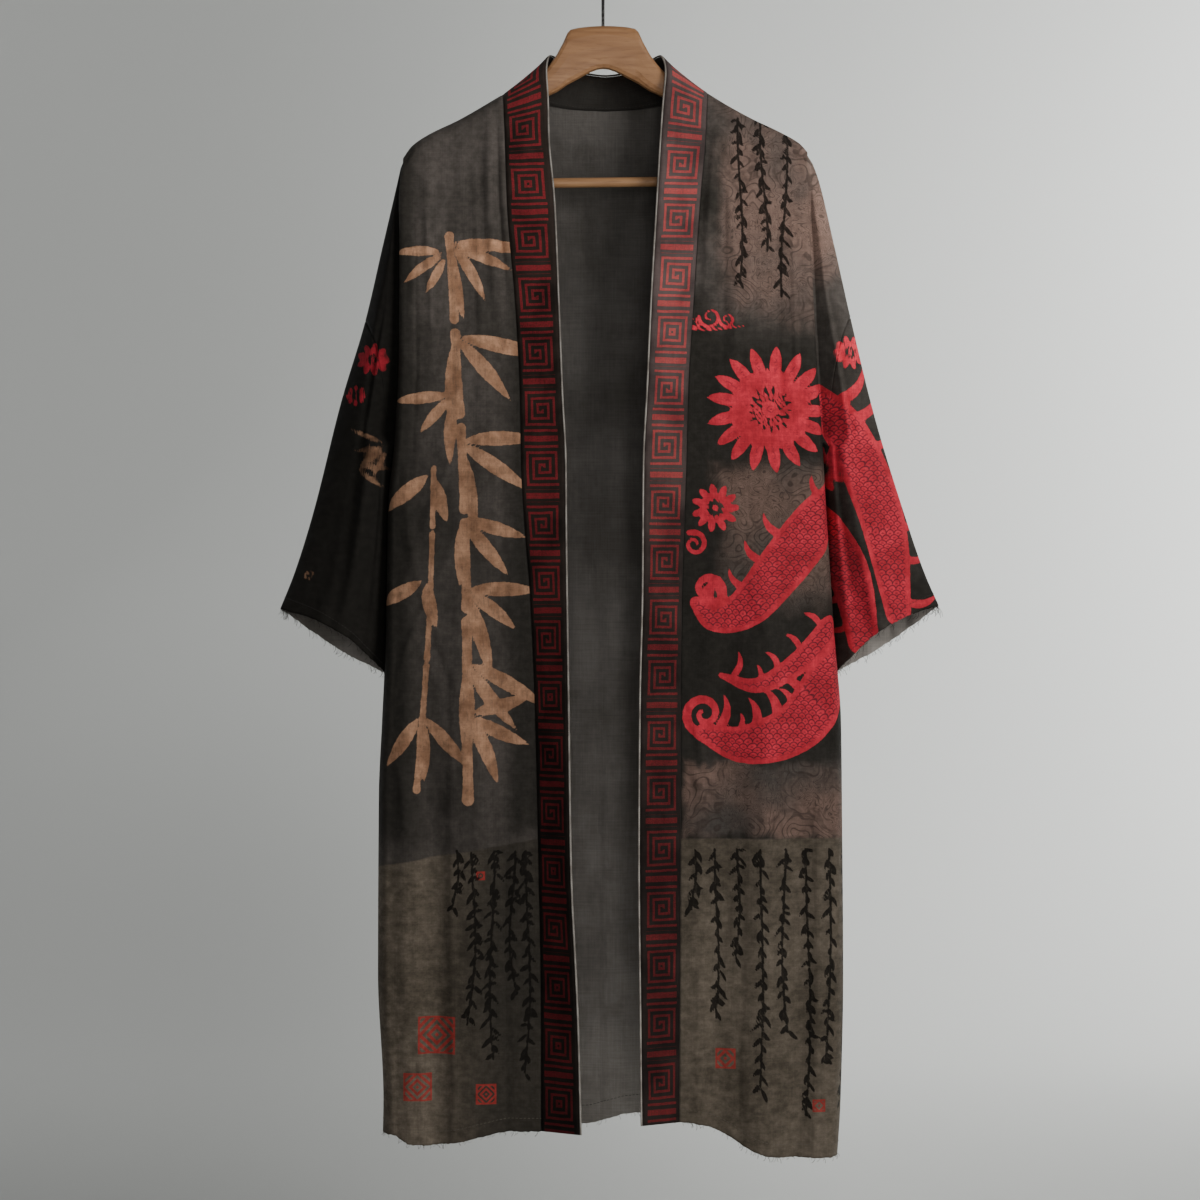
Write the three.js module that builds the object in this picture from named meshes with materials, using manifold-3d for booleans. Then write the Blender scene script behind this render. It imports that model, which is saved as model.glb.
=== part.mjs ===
// A long open-fronted kimono that hangs on a contoured wooden hanger.
//
// Millimetres, +Z up, +X towards the wearer's left, and the open front faces -Y.
// The origin is the inner apex of the hook, the point by which a rail holds the hanger.
// The robe is cut as two fronts, a back, two dropped shoulders, two tapered sleeves,
// one collar band from hem to hem round the neck, and a thin edging along the band.
// "Across" is a distance from the hook's axis, "height" is Z, and "depth" is how far
// a place lies below the shoulder line.

import * as THREE from 'three';
import Module from 'manifold-3d';
import { mergeVertices } from 'three/addons/utils/BufferGeometryUtils.js';

// ---------------------------------------------------------------- cloth and seams

const CLOTH = 1.6;             // thickness of the robe's cloth
const BAND = 2.4;              // thickness of the doubled collar band
const EDGING = 2.2;            // diameter of the edging
const SEAM_GAP = 0.4;          // gap kept between two pieces at a seam
const RIDGE_GAP = 0.7;         // gap between front and back along the shoulder
const SHOULDER_ROUND = 17;     // radius with which the cloth rolls over the hanger
const WRAP_BLEND = 35;         // depth over which the side roll opens below the shoulder
const WRAP_TURN = THREE.MathUtils.degToRad(150);
const ARMHOLE_HALF = 12;       // half the armhole's width, front to back
const ARMHOLE_ENDS = 4.2;      // the same close to its top and bottom
const SIDE_SEAM_HALF = 1.05;   // half the distance between front and back at the side seam
const SLEEVE_TUCK = 2.9;      // how far the sleeve lies inside the panels' rolled edges
const UNDERARM = -505;         // height of the underarm

// How the cloth hangs from the hanger.
const SIDE_SINK = 0.14;        // share of the depth that the panels lose towards their sides
const SINK_DEPTH = 60;         // reached this far below the shoulder
const NECK_CALM = 0.36;        // share of the swing missing below the back neck
const FOLD_START = 20;         // depth over which the folds begin below the shoulder
const FOLD_RISE = 1 / 3;       // share of its length in which a fold reaches its full height
const FOLD_FADE = 0.55;        // share of its length at which it starts to fade
const ROLL_RADIUS = 9;         // radius of the rolled side edge at the underarm
const ROLL_GROWTH = 6;         // added to it further down
const ROLL_LENGTH = 600;
const LENS_POWER = 0.7;        // how fast the armhole widens from its ends
const LENS_OF_DEPTH = 0.62;    // widest armhole, as a share of the cloth's depth there

// Room that the sleeve keeps beside the body.
const BESIDE = 4;
const BELOW_ROOM = 40;
const BELOW_BLEND = 30;
const SEAM_DRIFT = 8;
const UNDERARM_BLEND = 12;
const ARMHOLE_GAPS = 3.5;      // seam gaps between the sleeve and the panel's edge
const SHOULDER_GAPS = 2;       // and how many more at the shoulder's end

// How far the cloth swings out from the shoulder line, below the roll over the hanger.
const SWING = [
  { depth: 0, out: 0 },
  { depth: 60, out: 6 },
  { depth: 150, out: 13 },
  { depth: 300, out: 22 },
  { depth: 500, out: 31.5 },
  { depth: 750, out: 41 },
  { depth: 1110, out: 52 },
];

// Body sides, as the outermost reach of the rolled front edge.
const SIDES = [
  { height: -209, right: 212.5, left: 217.3 },
  { height: -264, right: 216.4, left: 217.5 },
  { height: -311, right: 215.8, left: 220 },
  { height: -422, right: 216, left: 225.5 },
  { height: -516, right: 220.6, left: 232 },
  { height: -587, right: 227.4, left: 236 },
  { height: -729, right: 229.7, left: 245 },
  { height: -814, right: 233.4, left: 251.5 },
  { height: -895, right: 236.8, left: 252.4 },
  { height: -1080, right: 237.5, left: 253.5 },
  { height: -1215, right: 231.5, left: 250.5 },
  { height: -1275, right: 233, left: 246.8 },
];

// Band seam and band edge down each front, with how far the edge turns forward.
const BAND_LINE = {
  right: [
    { height: -107, seam: 107.8, edge: 59.5, turn: 0 },
    { height: -119, seam: 107.8, edge: 62, turn: 0 },
    { height: -154, seam: 106, edge: 59.5, turn: 1 },
    { height: -192, seam: 104.6, edge: 58.9, turn: 3 },
    { height: -264, seam: 102.1, edge: 52.6, turn: 5 },
    { height: -382, seam: 92.4, edge: 47.4, turn: 12 },
    { height: -476, seam: 87.6, edge: 43.6, turn: 14 },
    { height: -540, seam: 86.5, edge: 40.3, turn: 12 },
    { height: -611, seam: 82.6, edge: 39.7, turn: 14 },
    { height: -681, seam: 76.8, edge: 38.7, turn: 20 },
    { height: -792, seam: 71.5, edge: 36.8, turn: 28 },
    { height: -959, seam: 67.4, edge: 34.3, turn: 29 },
    { height: -1125, seam: 64.6, edge: 27, turn: 26 },
    { height: -1250, seam: 64.5, edge: 23.9, turn: 22 },
  ],
  left: [
    { height: -107, seam: 111.1, edge: 67.5, turn: 0 },
    { height: -119, seam: 111.1, edge: 68.5, turn: 0 },
    { height: -154, seam: 110.6, edge: 65.4, turn: 1 },
    { height: -192, seam: 109.4, edge: 62.6, turn: 3 },
    { height: -264, seam: 103.2, edge: 58.2, turn: 5 },
    { height: -371, seam: 95.9, edge: 51.8, turn: 12 },
    { height: -470, seam: 89.7, edge: 47.2, turn: 15 },
    { height: -540, seam: 88, edge: 43.6, turn: 14 },
    { height: -681, seam: 83.1, edge: 42.3, turn: 17 },
    { height: -792, seam: 81.6, edge: 39.6, turn: 17 },
    { height: -959, seam: 81.2, edge: 38.5, turn: 17 },
    { height: -1125, seam: 80.2, edge: 39.9, turn: 20 },
    { height: -1240, seam: 79.4, edge: 40.9, turn: 21 },
  ],
};

// Shoulder line from the band seam to the end of the shoulder.
const SHOULDER = {
  right: [
    { across: 107.8, height: -148.6 },
    { across: 152.9, height: -174.8 },
    { across: 186.2, height: -191 },
    { across: 202.9, height: -202.5 },
    { across: 212.5, height: -215.4 },
  ],
  left: [
    { across: 111.1, height: -146.5 },
    { across: 130.3, height: -158.3 },
    { across: 163.4, height: -176.3 },
    { across: 192.2, height: -190 },
    { across: 209, height: -200 },
    { across: 217.3, height: -209 },
  ],
};

// Hem of each front, and of the back from the right side (-1) to the left side (1).
const HEM = {
  right: [
    { across: 64, height: -1241.5 },
    { across: 98, height: -1241.2 },
    { across: 131, height: -1246 },
    { across: 164, height: -1254.2 },
    { across: 191, height: -1257.4 },
    { across: 214, height: -1256.3 },
    { across: 231, height: -1247 },
  ],
  left: [
    { across: 80, height: -1231.3 },
    { across: 110.7, height: -1236.2 },
    { across: 144, height: -1251 },
    { across: 157.7, height: -1259 },
    { across: 184.5, height: -1267.8 },
    { across: 211, height: -1270 },
    { across: 245, height: -1271 },
  ],
  back: [
    { share: -1, height: -1247 },
    { share: -0.6, height: -1256 },
    { share: -0.1, height: -1258 },
    { share: 0.12, height: -1246 },
    { share: 0.5, height: -1252 },
    { share: 1, height: -1271 },
  ],
};

// Soft folds: where they lie across the piece, from where to where they run, how wide
// they are, how far they stand out, and how much of that is left at the lower end.
const FOLDS = {
  front_right: [
    { across: 0.17, top: -152, bottom: -440, width: 0.055, rise: 5, end: 0 },
    { across: 0.08, top: -152, bottom: -400, width: 0.035, rise: -4, end: 0 },
    { across: 0.45, top: -620, bottom: -1260, width: 0.14, rise: 6, end: 1 },
    { across: 0.7, top: -800, bottom: -1260, width: 0.1, rise: -6, end: 1 },
    { across: 0.9, top: -520, bottom: -1260, width: 0.07, rise: 4, end: 1 },
  ],
  front_left: [
    { across: 0.1, top: -152, bottom: -400, width: 0.05, rise: 4, end: 0 },
    { across: 0.28, top: -640, bottom: -1260, width: 0.11, rise: -6, end: 1 },
    { across: 0.55, top: -560, bottom: -1260, width: 0.13, rise: 7, end: 1 },
    { across: 0.8, top: -860, bottom: -1260, width: 0.09, rise: -6, end: 1 },
  ],
  back: [
    { across: -0.8, top: -430, bottom: -1260, width: 0.09, rise: 9, end: 1 },
    { across: -0.52, top: -600, bottom: -1260, width: 0.1, rise: -9, end: 1 },
    { across: -0.24, top: -270, bottom: -1260, width: 0.09, rise: 8, end: 1 },
    { across: 0.06, top: -200, bottom: -1260, width: 0.08, rise: -8, end: 1 },
    { across: 0.3, top: -400, bottom: -1260, width: 0.09, rise: 9, end: 1 },
    { across: 0.58, top: -520, bottom: -1260, width: 0.1, rise: -8, end: 1 },
    { across: 0.83, top: -460, bottom: -1260, width: 0.08, rise: 7, end: 1 },
  ],
};

// Where the band's edge lies beside the neck: above the seam's height on the front,
// and by share of the neck's half-width on the back.
const FRONT_NECK = [
  { depth: 0, rise: 29.5, turn: 10.6 },
  { depth: 4, rise: 25, turn: 2.6 },
  { depth: 10, rise: 19, turn: 0.2 },
  { depth: 24, rise: 12, turn: 0.4 },
  { depth: 45, rise: 5, turn: 1.4 },
  { depth: 80, rise: 0, turn: 3 },
];
const BACK_NECK = [
  { share: 0, across: 0, out: 28, height: -124 },
  { share: 0.3, across: 24, out: 27, height: -120.5 },
  { share: 0.55, across: 44, out: 24, height: -111.5 },
  { share: 0.74, across: 57, out: 14, height: -104.5 },
  { share: 0.87, across: 61.5, out: 5, height: -105.5 },
  { share: 0.94, across: 62.3, out: -3, height: -109.5 },
];
// The back neck seam: it climbs the hanger's arm, passes behind it and sags at the centre.
const NECK_SEAM = [
  { share: 0, out: 34, height: -159.6 },
  { share: 0.3, out: 32, height: -158.3 },
  { share: 0.55, out: 26.5, height: -155 },
  { share: 0.74, out: 20, height: -150.5 },
  { share: 0.87, out: 13.5, height: -145.5 },
  { share: 0.94, out: 6.5, height: -145 },
];
const NECK_CENTRE = 2.5;       // the neck sits this far to the wearer's left of the hook
const NECK_OUT = NECK_SEAM[0].out;

// Sleeves: rings from the armhole to the cuff. Each runs down the front from the outer
// fold past a corner to the inner fold, and up the back, with this depth each way.
const SLEEVES = {
  right: [
    { share: 0, outer: 213.2, outerTop: -216, corner: 209, cornerTop: -360, inner: 217.5, innerTop: -502, deep: 12 },
    { share: 0.12, outer: 218.5, outerTop: -240, corner: 211, cornerTop: -350, inner: 219, innerTop: -512, deep: 19 },
    { share: 0.28, outer: 235, outerTop: -311, corner: 213, cornerTop: -368, inner: 222.5, innerTop: -545, deep: 26 },
    { share: 0.42, outer: 253.1, outerTop: -389, corner: 226, cornerTop: -428, inner: 229, innerTop: -596, deep: 30 },
    { share: 0.6, outer: 279, outerTop: -476, corner: 237, cornerTop: -540, inner: 228.5, innerTop: -650, deep: 32 },
    { share: 0.8, outer: 309, outerTop: -595, corner: 262, cornerTop: -651, inner: 231, innerTop: -715, deep: 34 },
    { share: 0.92, outer: 329, outerTop: -659, corner: 278, cornerTop: -704, inner: 232, innerTop: -750, deep: 34 },
    { share: 1, outer: 343.8, outerTop: -695.9, corner: 288, cornerTop: -731, inner: 232.5, innerTop: -765.8, deep: 33 },
  ],
  left: [
    { share: 0, outer: 218.5, outerTop: -210, corner: 217, cornerTop: -358, inner: 228.5, innerTop: -502, deep: 12 },
    { share: 0.12, outer: 229, outerTop: -237, corner: 218, cornerTop: -350, inner: 230, innerTop: -512, deep: 19 },
    { share: 0.28, outer: 246.6, outerTop: -310, corner: 221, cornerTop: -366, inner: 235, innerTop: -545, deep: 26 },
    { share: 0.42, outer: 263.5, outerTop: -385, corner: 236, cornerTop: -426, inner: 241.5, innerTop: -596, deep: 30 },
    { share: 0.6, outer: 289, outerTop: -490, corner: 249, cornerTop: -548, inner: 245, innerTop: -650, deep: 32 },
    { share: 0.8, outer: 321, outerTop: -595, corner: 277, cornerTop: -651, inner: 249.5, innerTop: -715, deep: 34 },
    { share: 0.92, outer: 341, outerTop: -654, corner: 294, cornerTop: -702, inner: 251.5, innerTop: -748, deep: 34 },
    { share: 1, outer: 357.7, outerTop: -693.2, corner: 304, cornerTop: -728, inner: 252.5, innerTop: -762.6, deep: 33 },
  ],
};
const SLEEVE_SEAM = 0.42;      // share of the sleeve's length where the dropped shoulder ends
const CUFF_LIFT = 13;          // how much higher the front lip of the cuff is
const CUFF_DROP = 6;           // how much lower its back lip is
const SLEEVE_FOLD = 4.5;       // how far the sleeve's soft folds stand out
const CUFF_OPENS = 0.55;       // share of the sleeve's length where the lips begin to part
const SLEEVE_BULGE = 0.75;     // roundness of the sleeve's section
const WAVE_START = 0.4;
const RING_SPREAD = 1.25;      // the dropped shoulder's rings stand closer near the armhole
const SLEEVE_RUN = 110;        // length that one whole share of the sleeve stands for at its seam
const SLEEVE_WAVES = [
  { height: 1, around: 2.2, along: 0.35 },
  { height: 0.5, around: 3.7, along: -0.8 },
];

// ---------------------------------------------------------------- hanger

const BAR_DIAMETER = 10.5;
const BAR_HEIGHT = -241;
const BAR_REACH = 184;         // half the bar's length, ends seated in the arms
const HANGER_TILT = Math.tan(THREE.MathUtils.degToRad(0.7));
const FIT = 0.3;               // clearance round the bar and the hook's stem
const WIRE = 3.8;
const HOOK_RADIUS = 22;        // of the wire's centre line in the bend
const STEM_TOP = -46;
const STEM_FOOT = -92;
const ARM_SQUARENESS = 0.62;   // below 1 the arm's section is squarer than an ellipse
const ARM_SIDES = 16;
const SOCKET_START = 140;      // where the bar's sockets in the arms begin
const BAR_SIDES = 20;
const BORE_LENGTH = 40;
const BORE_SIDES = 12;
const STEM_EASE = 13;          // how gently the stem leaves and meets the bend
const BEND_EASE = 15;
const HOOK_TURN = 205;         // degrees of the bend
const HOOK_STEP = 5;
const WIRE_RINGS = 56;
const WIRE_SIDES = 10;
const TIP_SHARE = 0.45;        // thickness left at the hook's rounded tip
const EDGING_SIDES = 6;

const ARM = [
  { across: 0, top: -74, bottom: -120, half: 7.8 },
  { across: 6.5, top: -74.1, bottom: -120.8, half: 7.8 },
  { across: 13, top: -74.4, bottom: -123.2, half: 7.8 },
  { across: 19.5, top: -74.9, bottom: -126.5, half: 7.8 },
  { across: 26, top: -75.6, bottom: -130.1, half: 7.8 },
  { across: 34.5, top: -77.4, bottom: -134.5, half: 7.8 },
  { across: 38, top: -81, bottom: -136.5, half: 7.9 },
  { across: 43, top: -92, bottom: -140, half: 8.1 },
  { across: 50, top: -105, bottom: -144.5, half: 8.4 },
  { across: 57, top: -115, bottom: -147.5, half: 8.7 },
  { across: 64, top: -123, bottom: -151, half: 9 },
  { across: 85, top: -139.5, bottom: -164, half: 9.6 },
  { across: 110, top: -152, bottom: -179, half: 10.8 },
  { across: 152.9, top: -175, bottom: -214, half: 12.5 },
  { across: 178, top: -187.6, bottom: -243, half: 13.2 },
  { across: 188, top: -193.5, bottom: -254, half: 12.8 },
  { across: 194, top: -202, bottom: -253, half: 10.5 },
  { across: 197, top: -215, bottom: -246, half: 6 },
];

// ---------------------------------------------------------------- helpers

const COLOURS = {
  cloth: { color: 0x2c2826, roughness: 0.92, metalness: 0 },
  band: { color: 0x6e1f24, roughness: 0.9, metalness: 0 },
  edging: { color: 0xb9b2a8, roughness: 0.85, metalness: 0 },
  wood: { color: 0xa9713f, roughness: 0.5, metalness: 0 },
  wire: { color: 0x1d1c1c, roughness: 0.4, metalness: 0.9 },
};

const clamp = THREE.MathUtils.clamp;
const ease = (value) => THREE.MathUtils.smoothstep(value, 0, 1);
const mix = THREE.MathUtils.lerp;
const bell = (offset) => Math.exp(-offset * offset);

// Reads a table as a smooth curve that never overshoots its rows.
function along(table, given, wanted, value) {
  const rows = table[0][given] < table.at(-1)[given] ? table : [...table].reverse();
  const last = rows.length - 1;
  if (value <= rows[0][given]) return rows[0][wanted];
  if (value >= rows[last][given]) return rows[last][wanted];
  const k = rows.findLastIndex((row) => row[given] <= value);
  const slope = (i) => (rows[i + 1][wanted] - rows[i][wanted]) / (rows[i + 1][given] - rows[i][given]);
  const tangent = (i) => {
    if (i === 0) return slope(0);
    if (i === last) return slope(last - 1);
    const product = slope(i - 1) * slope(i);
    return product <= 0 ? 0 : (2 * product) / (slope(i - 1) + slope(i));
  };
  const step = rows[k + 1][given] - rows[k][given];
  const t = (value - rows[k][given]) / step;
  const rise = 3 * t * t - 2 * t * t * t;
  return mix(rows[k][wanted], rows[k + 1][wanted], rise)
    + step * (tangent(k) * t * (1 - t) ** 2 - tangent(k + 1) * t * t * (1 - t));
}

// Turns rows of points into a wall of the given thickness. Rows may close on themselves.
// The cloth's face is on the side of (down the rows) x (along a row).
function wall(rows, thickness, closed = false) {
  const down = rows.length;
  const round = rows[0].length;
  const at = (i, j) => rows[clamp(i, 0, down - 1)][closed ? (j + round) % round : clamp(j, 0, round - 1)];
  const positions = [];
  for (const side of [0.5, -0.5]) {
    for (let i = 0; i < down; i += 1) {
      for (let j = 0; j < round; j += 1) {
        const fall = at(i + 1, j).clone().sub(at(i - 1, j));
        const run = at(i, j + 1).clone().sub(at(i, j - 1));
        const normal = fall.cross(run).normalize();
        positions.push(...at(i, j).clone().addScaledVector(normal, side * thickness).toArray());
      }
    }
  }
  const id = (side, i, j) => side * down * round + i * round + (closed ? (j + round) % round : j);
  const faces = [];
  const quad = (a, b, c, d) => faces.push(a, b, c, a, c, d);
  const runs = closed ? round : round - 1;
  for (let i = 0; i < down - 1; i += 1) {
    for (let j = 0; j < runs; j += 1) {
      quad(id(0, i, j), id(0, i + 1, j), id(0, i + 1, j + 1), id(0, i, j + 1));
      quad(id(1, i, j), id(1, i, j + 1), id(1, i + 1, j + 1), id(1, i + 1, j));
    }
  }
  for (let j = 0; j < runs; j += 1) {
    quad(id(0, 0, j), id(0, 0, j + 1), id(1, 0, j + 1), id(1, 0, j));
    quad(id(0, down - 1, j), id(1, down - 1, j), id(1, down - 1, j + 1), id(0, down - 1, j + 1));
  }
  if (!closed) {
    for (let i = 0; i < down - 1; i += 1) {
      quad(id(0, i, 0), id(1, i, 0), id(1, i + 1, 0), id(0, i + 1, 0));
      quad(id(0, i, round - 1), id(0, i + 1, round - 1), id(1, i + 1, round - 1), id(1, i, round - 1));
    }
  }
  return geometryOf(positions, faces);
}

// Turns closed rings of points into a solid rod with flat ends.
function rod(rings) {
  const round = rings[0].length;
  const positions = rings.flat().flatMap((point) => point.toArray());
  const faces = [];
  for (let i = 0; i < rings.length - 1; i += 1) {
    for (let j = 0; j < round; j += 1) {
      const [a, b] = [i * round + j, i * round + ((j + 1) % round)];
      faces.push(a, b, b + round, a, b + round, a + round);
    }
  }
  const foot = (rings.length - 1) * round;
  for (let j = 1; j < round - 1; j += 1) {
    faces.push(0, j + 1, j, foot, foot + j, foot + j + 1);
  }
  return geometryOf(positions, faces);
}

function geometryOf(positions, faces) {
  const geometry = new THREE.BufferGeometry();
  geometry.setAttribute('position', new THREE.Float32BufferAttribute(positions, 3));
  geometry.setIndex(faces);
  return facingOut(geometry);
}

// Reverses every face of a closed body that is inside out.
function facingOut(geometry) {
  const place = geometry.getAttribute('position');
  const index = geometry.getIndex().array;
  const corner = (k) => new THREE.Vector3().fromBufferAttribute(place, index[k]);
  let volume = 0;
  for (let k = 0; k < index.length; k += 3) {
    volume += corner(k).dot(corner(k + 1).cross(corner(k + 2)));
  }
  if (volume < 0) {
    for (let k = 0; k < index.length; k += 3) {
      [index[k], index[k + 1]] = [index[k + 1], index[k]];
    }
  }
  return geometry;
}

const wasm = await Module();
wasm.setup();

function solidOf(geometry) {
  const bare = geometry.clone();
  bare.deleteAttribute('normal');
  bare.deleteAttribute('uv');
  const merged = mergeVertices(bare);
  return new wasm.Manifold(new wasm.Mesh({
    numProp: 3,
    vertProperties: new Float32Array(merged.getAttribute('position').array),
    triVerts: new Uint32Array(merged.getIndex().array),
  }));
}

function geometryOfSolid(solid) {
  const mesh = solid.getMesh();
  return geometryOf(Array.from(mesh.vertProperties), Array.from(mesh.triVerts));
}

const group = new THREE.Group();

function add(name, geometry, finish) {
  const mesh = new THREE.Mesh(geometry, new THREE.MeshStandardMaterial(COLOURS[finish]));
  mesh.name = name;
  group.add(mesh);
}

// ---------------------------------------------------------------- body panels

const TOP_DEPTHS = [0, 1.5, 4.5, 9, 15, 24];
const ARMHOLE_ROWS = 7;        // rows from the last of these to the underarm
const SKIRT_ROWS = 14;         // rows from the underarm to the hem
const UNDERARM_STEP = 4;       // last row above the underarm
const WRAP_COLUMNS = 4;
const SIGN = { right: -1, left: 1 };

const roundOver = (depth) => Math.sqrt(SHOULDER_ROUND ** 2 - (SHOULDER_ROUND - Math.min(depth, SHOULDER_ROUND)) ** 2);
const swing = (depth) => along(SWING, 'depth', 'out', Math.max(depth - SHOULDER_ROUND, 0));

const ROWS = TOP_DEPTHS.length + ARMHOLE_ROWS + 1 + SKIRT_ROWS;
const UNDERARM_ROW = TOP_DEPTHS.length + ARMHOLE_ROWS;

// Height of a row in a column that runs from the top edge to the hem.
function heightOf(row, top, hem) {
  const lastDepth = TOP_DEPTHS.at(-1);
  if (row < TOP_DEPTHS.length) return top - TOP_DEPTHS[row];
  if (row < UNDERARM_ROW) {
    return mix(top - lastDepth, UNDERARM + UNDERARM_STEP, (row - TOP_DEPTHS.length + 1) / ARMHOLE_ROWS);
  }
  return mix(UNDERARM, hem, (row - UNDERARM_ROW) / SKIRT_ROWS);
}

// Half the opening between the front's and the back's edge at the side.
function edgeHalf(side, height) {
  if (height <= UNDERARM + UNDERARM_STEP / 2) return SIDE_SEAM_HALF;
  const depth = Math.max(SHOULDER[side].at(-1).height - height, 0);
  const armhole = SHOULDER[side].at(-1).height - UNDERARM - UNDERARM_STEP;
  const lens = mix(ARMHOLE_ENDS, ARMHOLE_HALF, Math.sin(Math.PI * clamp(depth / armhole, 0, 1)) ** LENS_POWER);
  return Math.min(lens, LENS_OF_DEPTH * (roundOver(depth) + swing(depth)));
}

const rollRadius = (height) => ROLL_RADIUS + ROLL_GROWTH * ease((UNDERARM - height) / ROLL_LENGTH);

function foldsAt(folds, across, height) {
  return folds.reduce((sum, fold) => {
    const run = (fold.top - height) / (fold.top - fold.bottom);
    const weight = ease(run / FOLD_RISE) * mix(1 - ease((run - FOLD_FADE) / (1 - FOLD_FADE)), 1, fold.end);
    return sum + fold.rise * weight * bell((across - fold.across) / fold.width);
  }, 0);
}

// A point past the flat of a panel, on the roll that takes its edge round the side.
function rollPoint(side, turn, height, startOut, endOut) {
  const radius = rollRadius(height);
  const reach = along(SIDES, 'height', side, height);
  const deep = (startOut - endOut) / (1 - Math.cos(WRAP_TURN));
  return {
    across: reach - radius + radius * Math.sin(turn * WRAP_TURN),
    out: startOut - deep * (1 - Math.cos(turn * WRAP_TURN)),
  };
}

const FRONT_COLUMNS = 12;

// One front, as rows of points from the band seam to the side.
function frontPoints(side) {
  const seamTop = SHOULDER[side][0].across;
  const end = SHOULDER[side].at(-1).across;
  const columns = FRONT_COLUMNS + WRAP_COLUMNS;
  const rows = [];
  for (let row = 0; row < ROWS; row += 1) {
    const points = [];
    for (let column = 0; column <= columns; column += 1) {
      const topAcross = mix(seamTop, end, column / columns);
      const top = along(SHOULDER[side], 'across', 'height', topAcross);
      const share = Math.min(column / FRONT_COLUMNS, 1);
      const hemAcross = mix(HEM[side][0].across, HEM[side].at(-1).across, share);
      const height = heightOf(row, top, along(HEM[side], 'across', 'height', hemAcross));
      const depth = top - height;
      const full = Math.max(roundOver(depth) + swing(depth), RIDGE_GAP / 2);
      const flatOut = (1 - SIDE_SINK * share ** 3 * ease(depth / SINK_DEPTH)) * full
        + foldsAt(FOLDS[`front_${side}`], share, height) * ease(depth / FOLD_START);
      const seam = along(BAND_LINE[side], 'height', 'seam', height);
      const rollStart = along(SIDES, 'height', side, height) - rollRadius(height);
      let low = { across: mix(seam, rollStart, share), out: flatOut };
      if (column > FRONT_COLUMNS) {
        const turn = (column - FRONT_COLUMNS) / WRAP_COLUMNS;
        low = rollPoint(side, turn, height, flatOut, edgeHalf(side, height));
      }
      const open = ease(depth / WRAP_BLEND);
      const across = mix(column === 0 ? seam : topAcross, low.across, open);
      points.push(new THREE.Vector3(SIGN[side] * across, -mix(full, low.out, open), height));
    }
    rows.push(points);
  }
  return rows;
}

const RIDGE_COLUMNS = 3;

// The back's columns on one side, from the centre to the rolled edge: each has its
// place along the top edge and its share of the way to the side.
function backColumns(side) {
  const seamTop = SHOULDER[side][0].across;
  const end = SHOULDER[side].at(-1).across;
  const shoulderEnd = { share: 1, out: 0, height: SHOULDER[side][0].height };
  const neck = [...NECK_SEAM, shoulderEnd].map(({ share, out, height }) => ({
    across: mix(SIGN[side] * NECK_CENTRE, seamTop, share), top: height, neck: out / NECK_OUT, roll: 0,
  }));
  const columns = RIDGE_COLUMNS + WRAP_COLUMNS;
  const ridge = Array.from({ length: columns }, (_, k) => {
    const across = mix(seamTop, end, (k + 1) / columns);
    const top = along(SHOULDER[side], 'across', 'height', across);
    return { across, top, neck: 0, roll: Math.max(k + 1 - RIDGE_COLUMNS, 0) / WRAP_COLUMNS };
  });
  const flatEnd = ridge[RIDGE_COLUMNS - 1].across;
  return [...neck, ...ridge].map((column) => ({ ...column, side, share: Math.min(column.across / flatEnd, 1) }));
}

function backPoints() {
  const columns = [...backColumns('right').reverse(), ...backColumns('left').slice(1)];
  const rows = [];
  for (let row = 0; row < ROWS; row += 1) {
    rows.push(columns.map((column) => {
      const { side, share, top } = column;
      const sideways = SIGN[side] * share;
      const height = heightOf(row, top, along(HEM.back, 'share', 'height', sideways));
      const depth = top - height;
      const hung = mix(roundOver(depth), NECK_OUT, column.neck) + swing(depth) * (1 - NECK_CALM * column.neck);
      const full = Math.max(hung, RIDGE_GAP / 2);
      const flatOut = (1 - SIDE_SINK * share ** 3 * ease(depth / SINK_DEPTH)) * full
        + foldsAt(FOLDS.back, sideways, height) * ease(depth / FOLD_START);
      const rollStart = along(SIDES, 'height', side, height) - rollRadius(height);
      let low = { across: share * rollStart, out: flatOut };
      if (column.roll > 0) {
        low = rollPoint(side, column.roll, height, flatOut, edgeHalf(side, height));
      }
      const open = ease(depth / WRAP_BLEND);
      return new THREE.Vector3(
        SIGN[side] * mix(column.across, low.across, open),
        mix(full, low.out, open),
        height,
      );
    }));
  }
  return rows;
}

// ---------------------------------------------------------------- sleeves

const SHOULDER_RINGS = 5;      // rings in the dropped shoulder
const SLEEVE_RINGS = 7;        // rings in the sleeve below it

// How far from the middle the sleeve may reach beside the body's rolled edges. Above the
// underarm it comes out from between them, and below it hangs free beside them.
function roomBeside(side, across, height) {
  const reach = along(SIDES, 'height', side, height);
  const inside = Math.max(edgeHalf(side, height) - SLEEVE_TUCK, CLOTH);
  const free = BELOW_ROOM * ease((UNDERARM - BESIDE - height) / BELOW_BLEND);
  return inside + Math.max(across - reach - BESIDE, 0) + free;
}

function nearestToBody(side, share, height) {
  const reach = along(SIDES, 'height', side, height);
  const seam = reach - rollRadius(height) / 2 + CLOTH + SEAM_GAP + SEAM_DRIFT * share;
  return mix(seam, Math.max(seam, reach + CLOTH + 2 * SEAM_GAP), ease((UNDERARM - height) / UNDERARM_BLEND));
}

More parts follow.
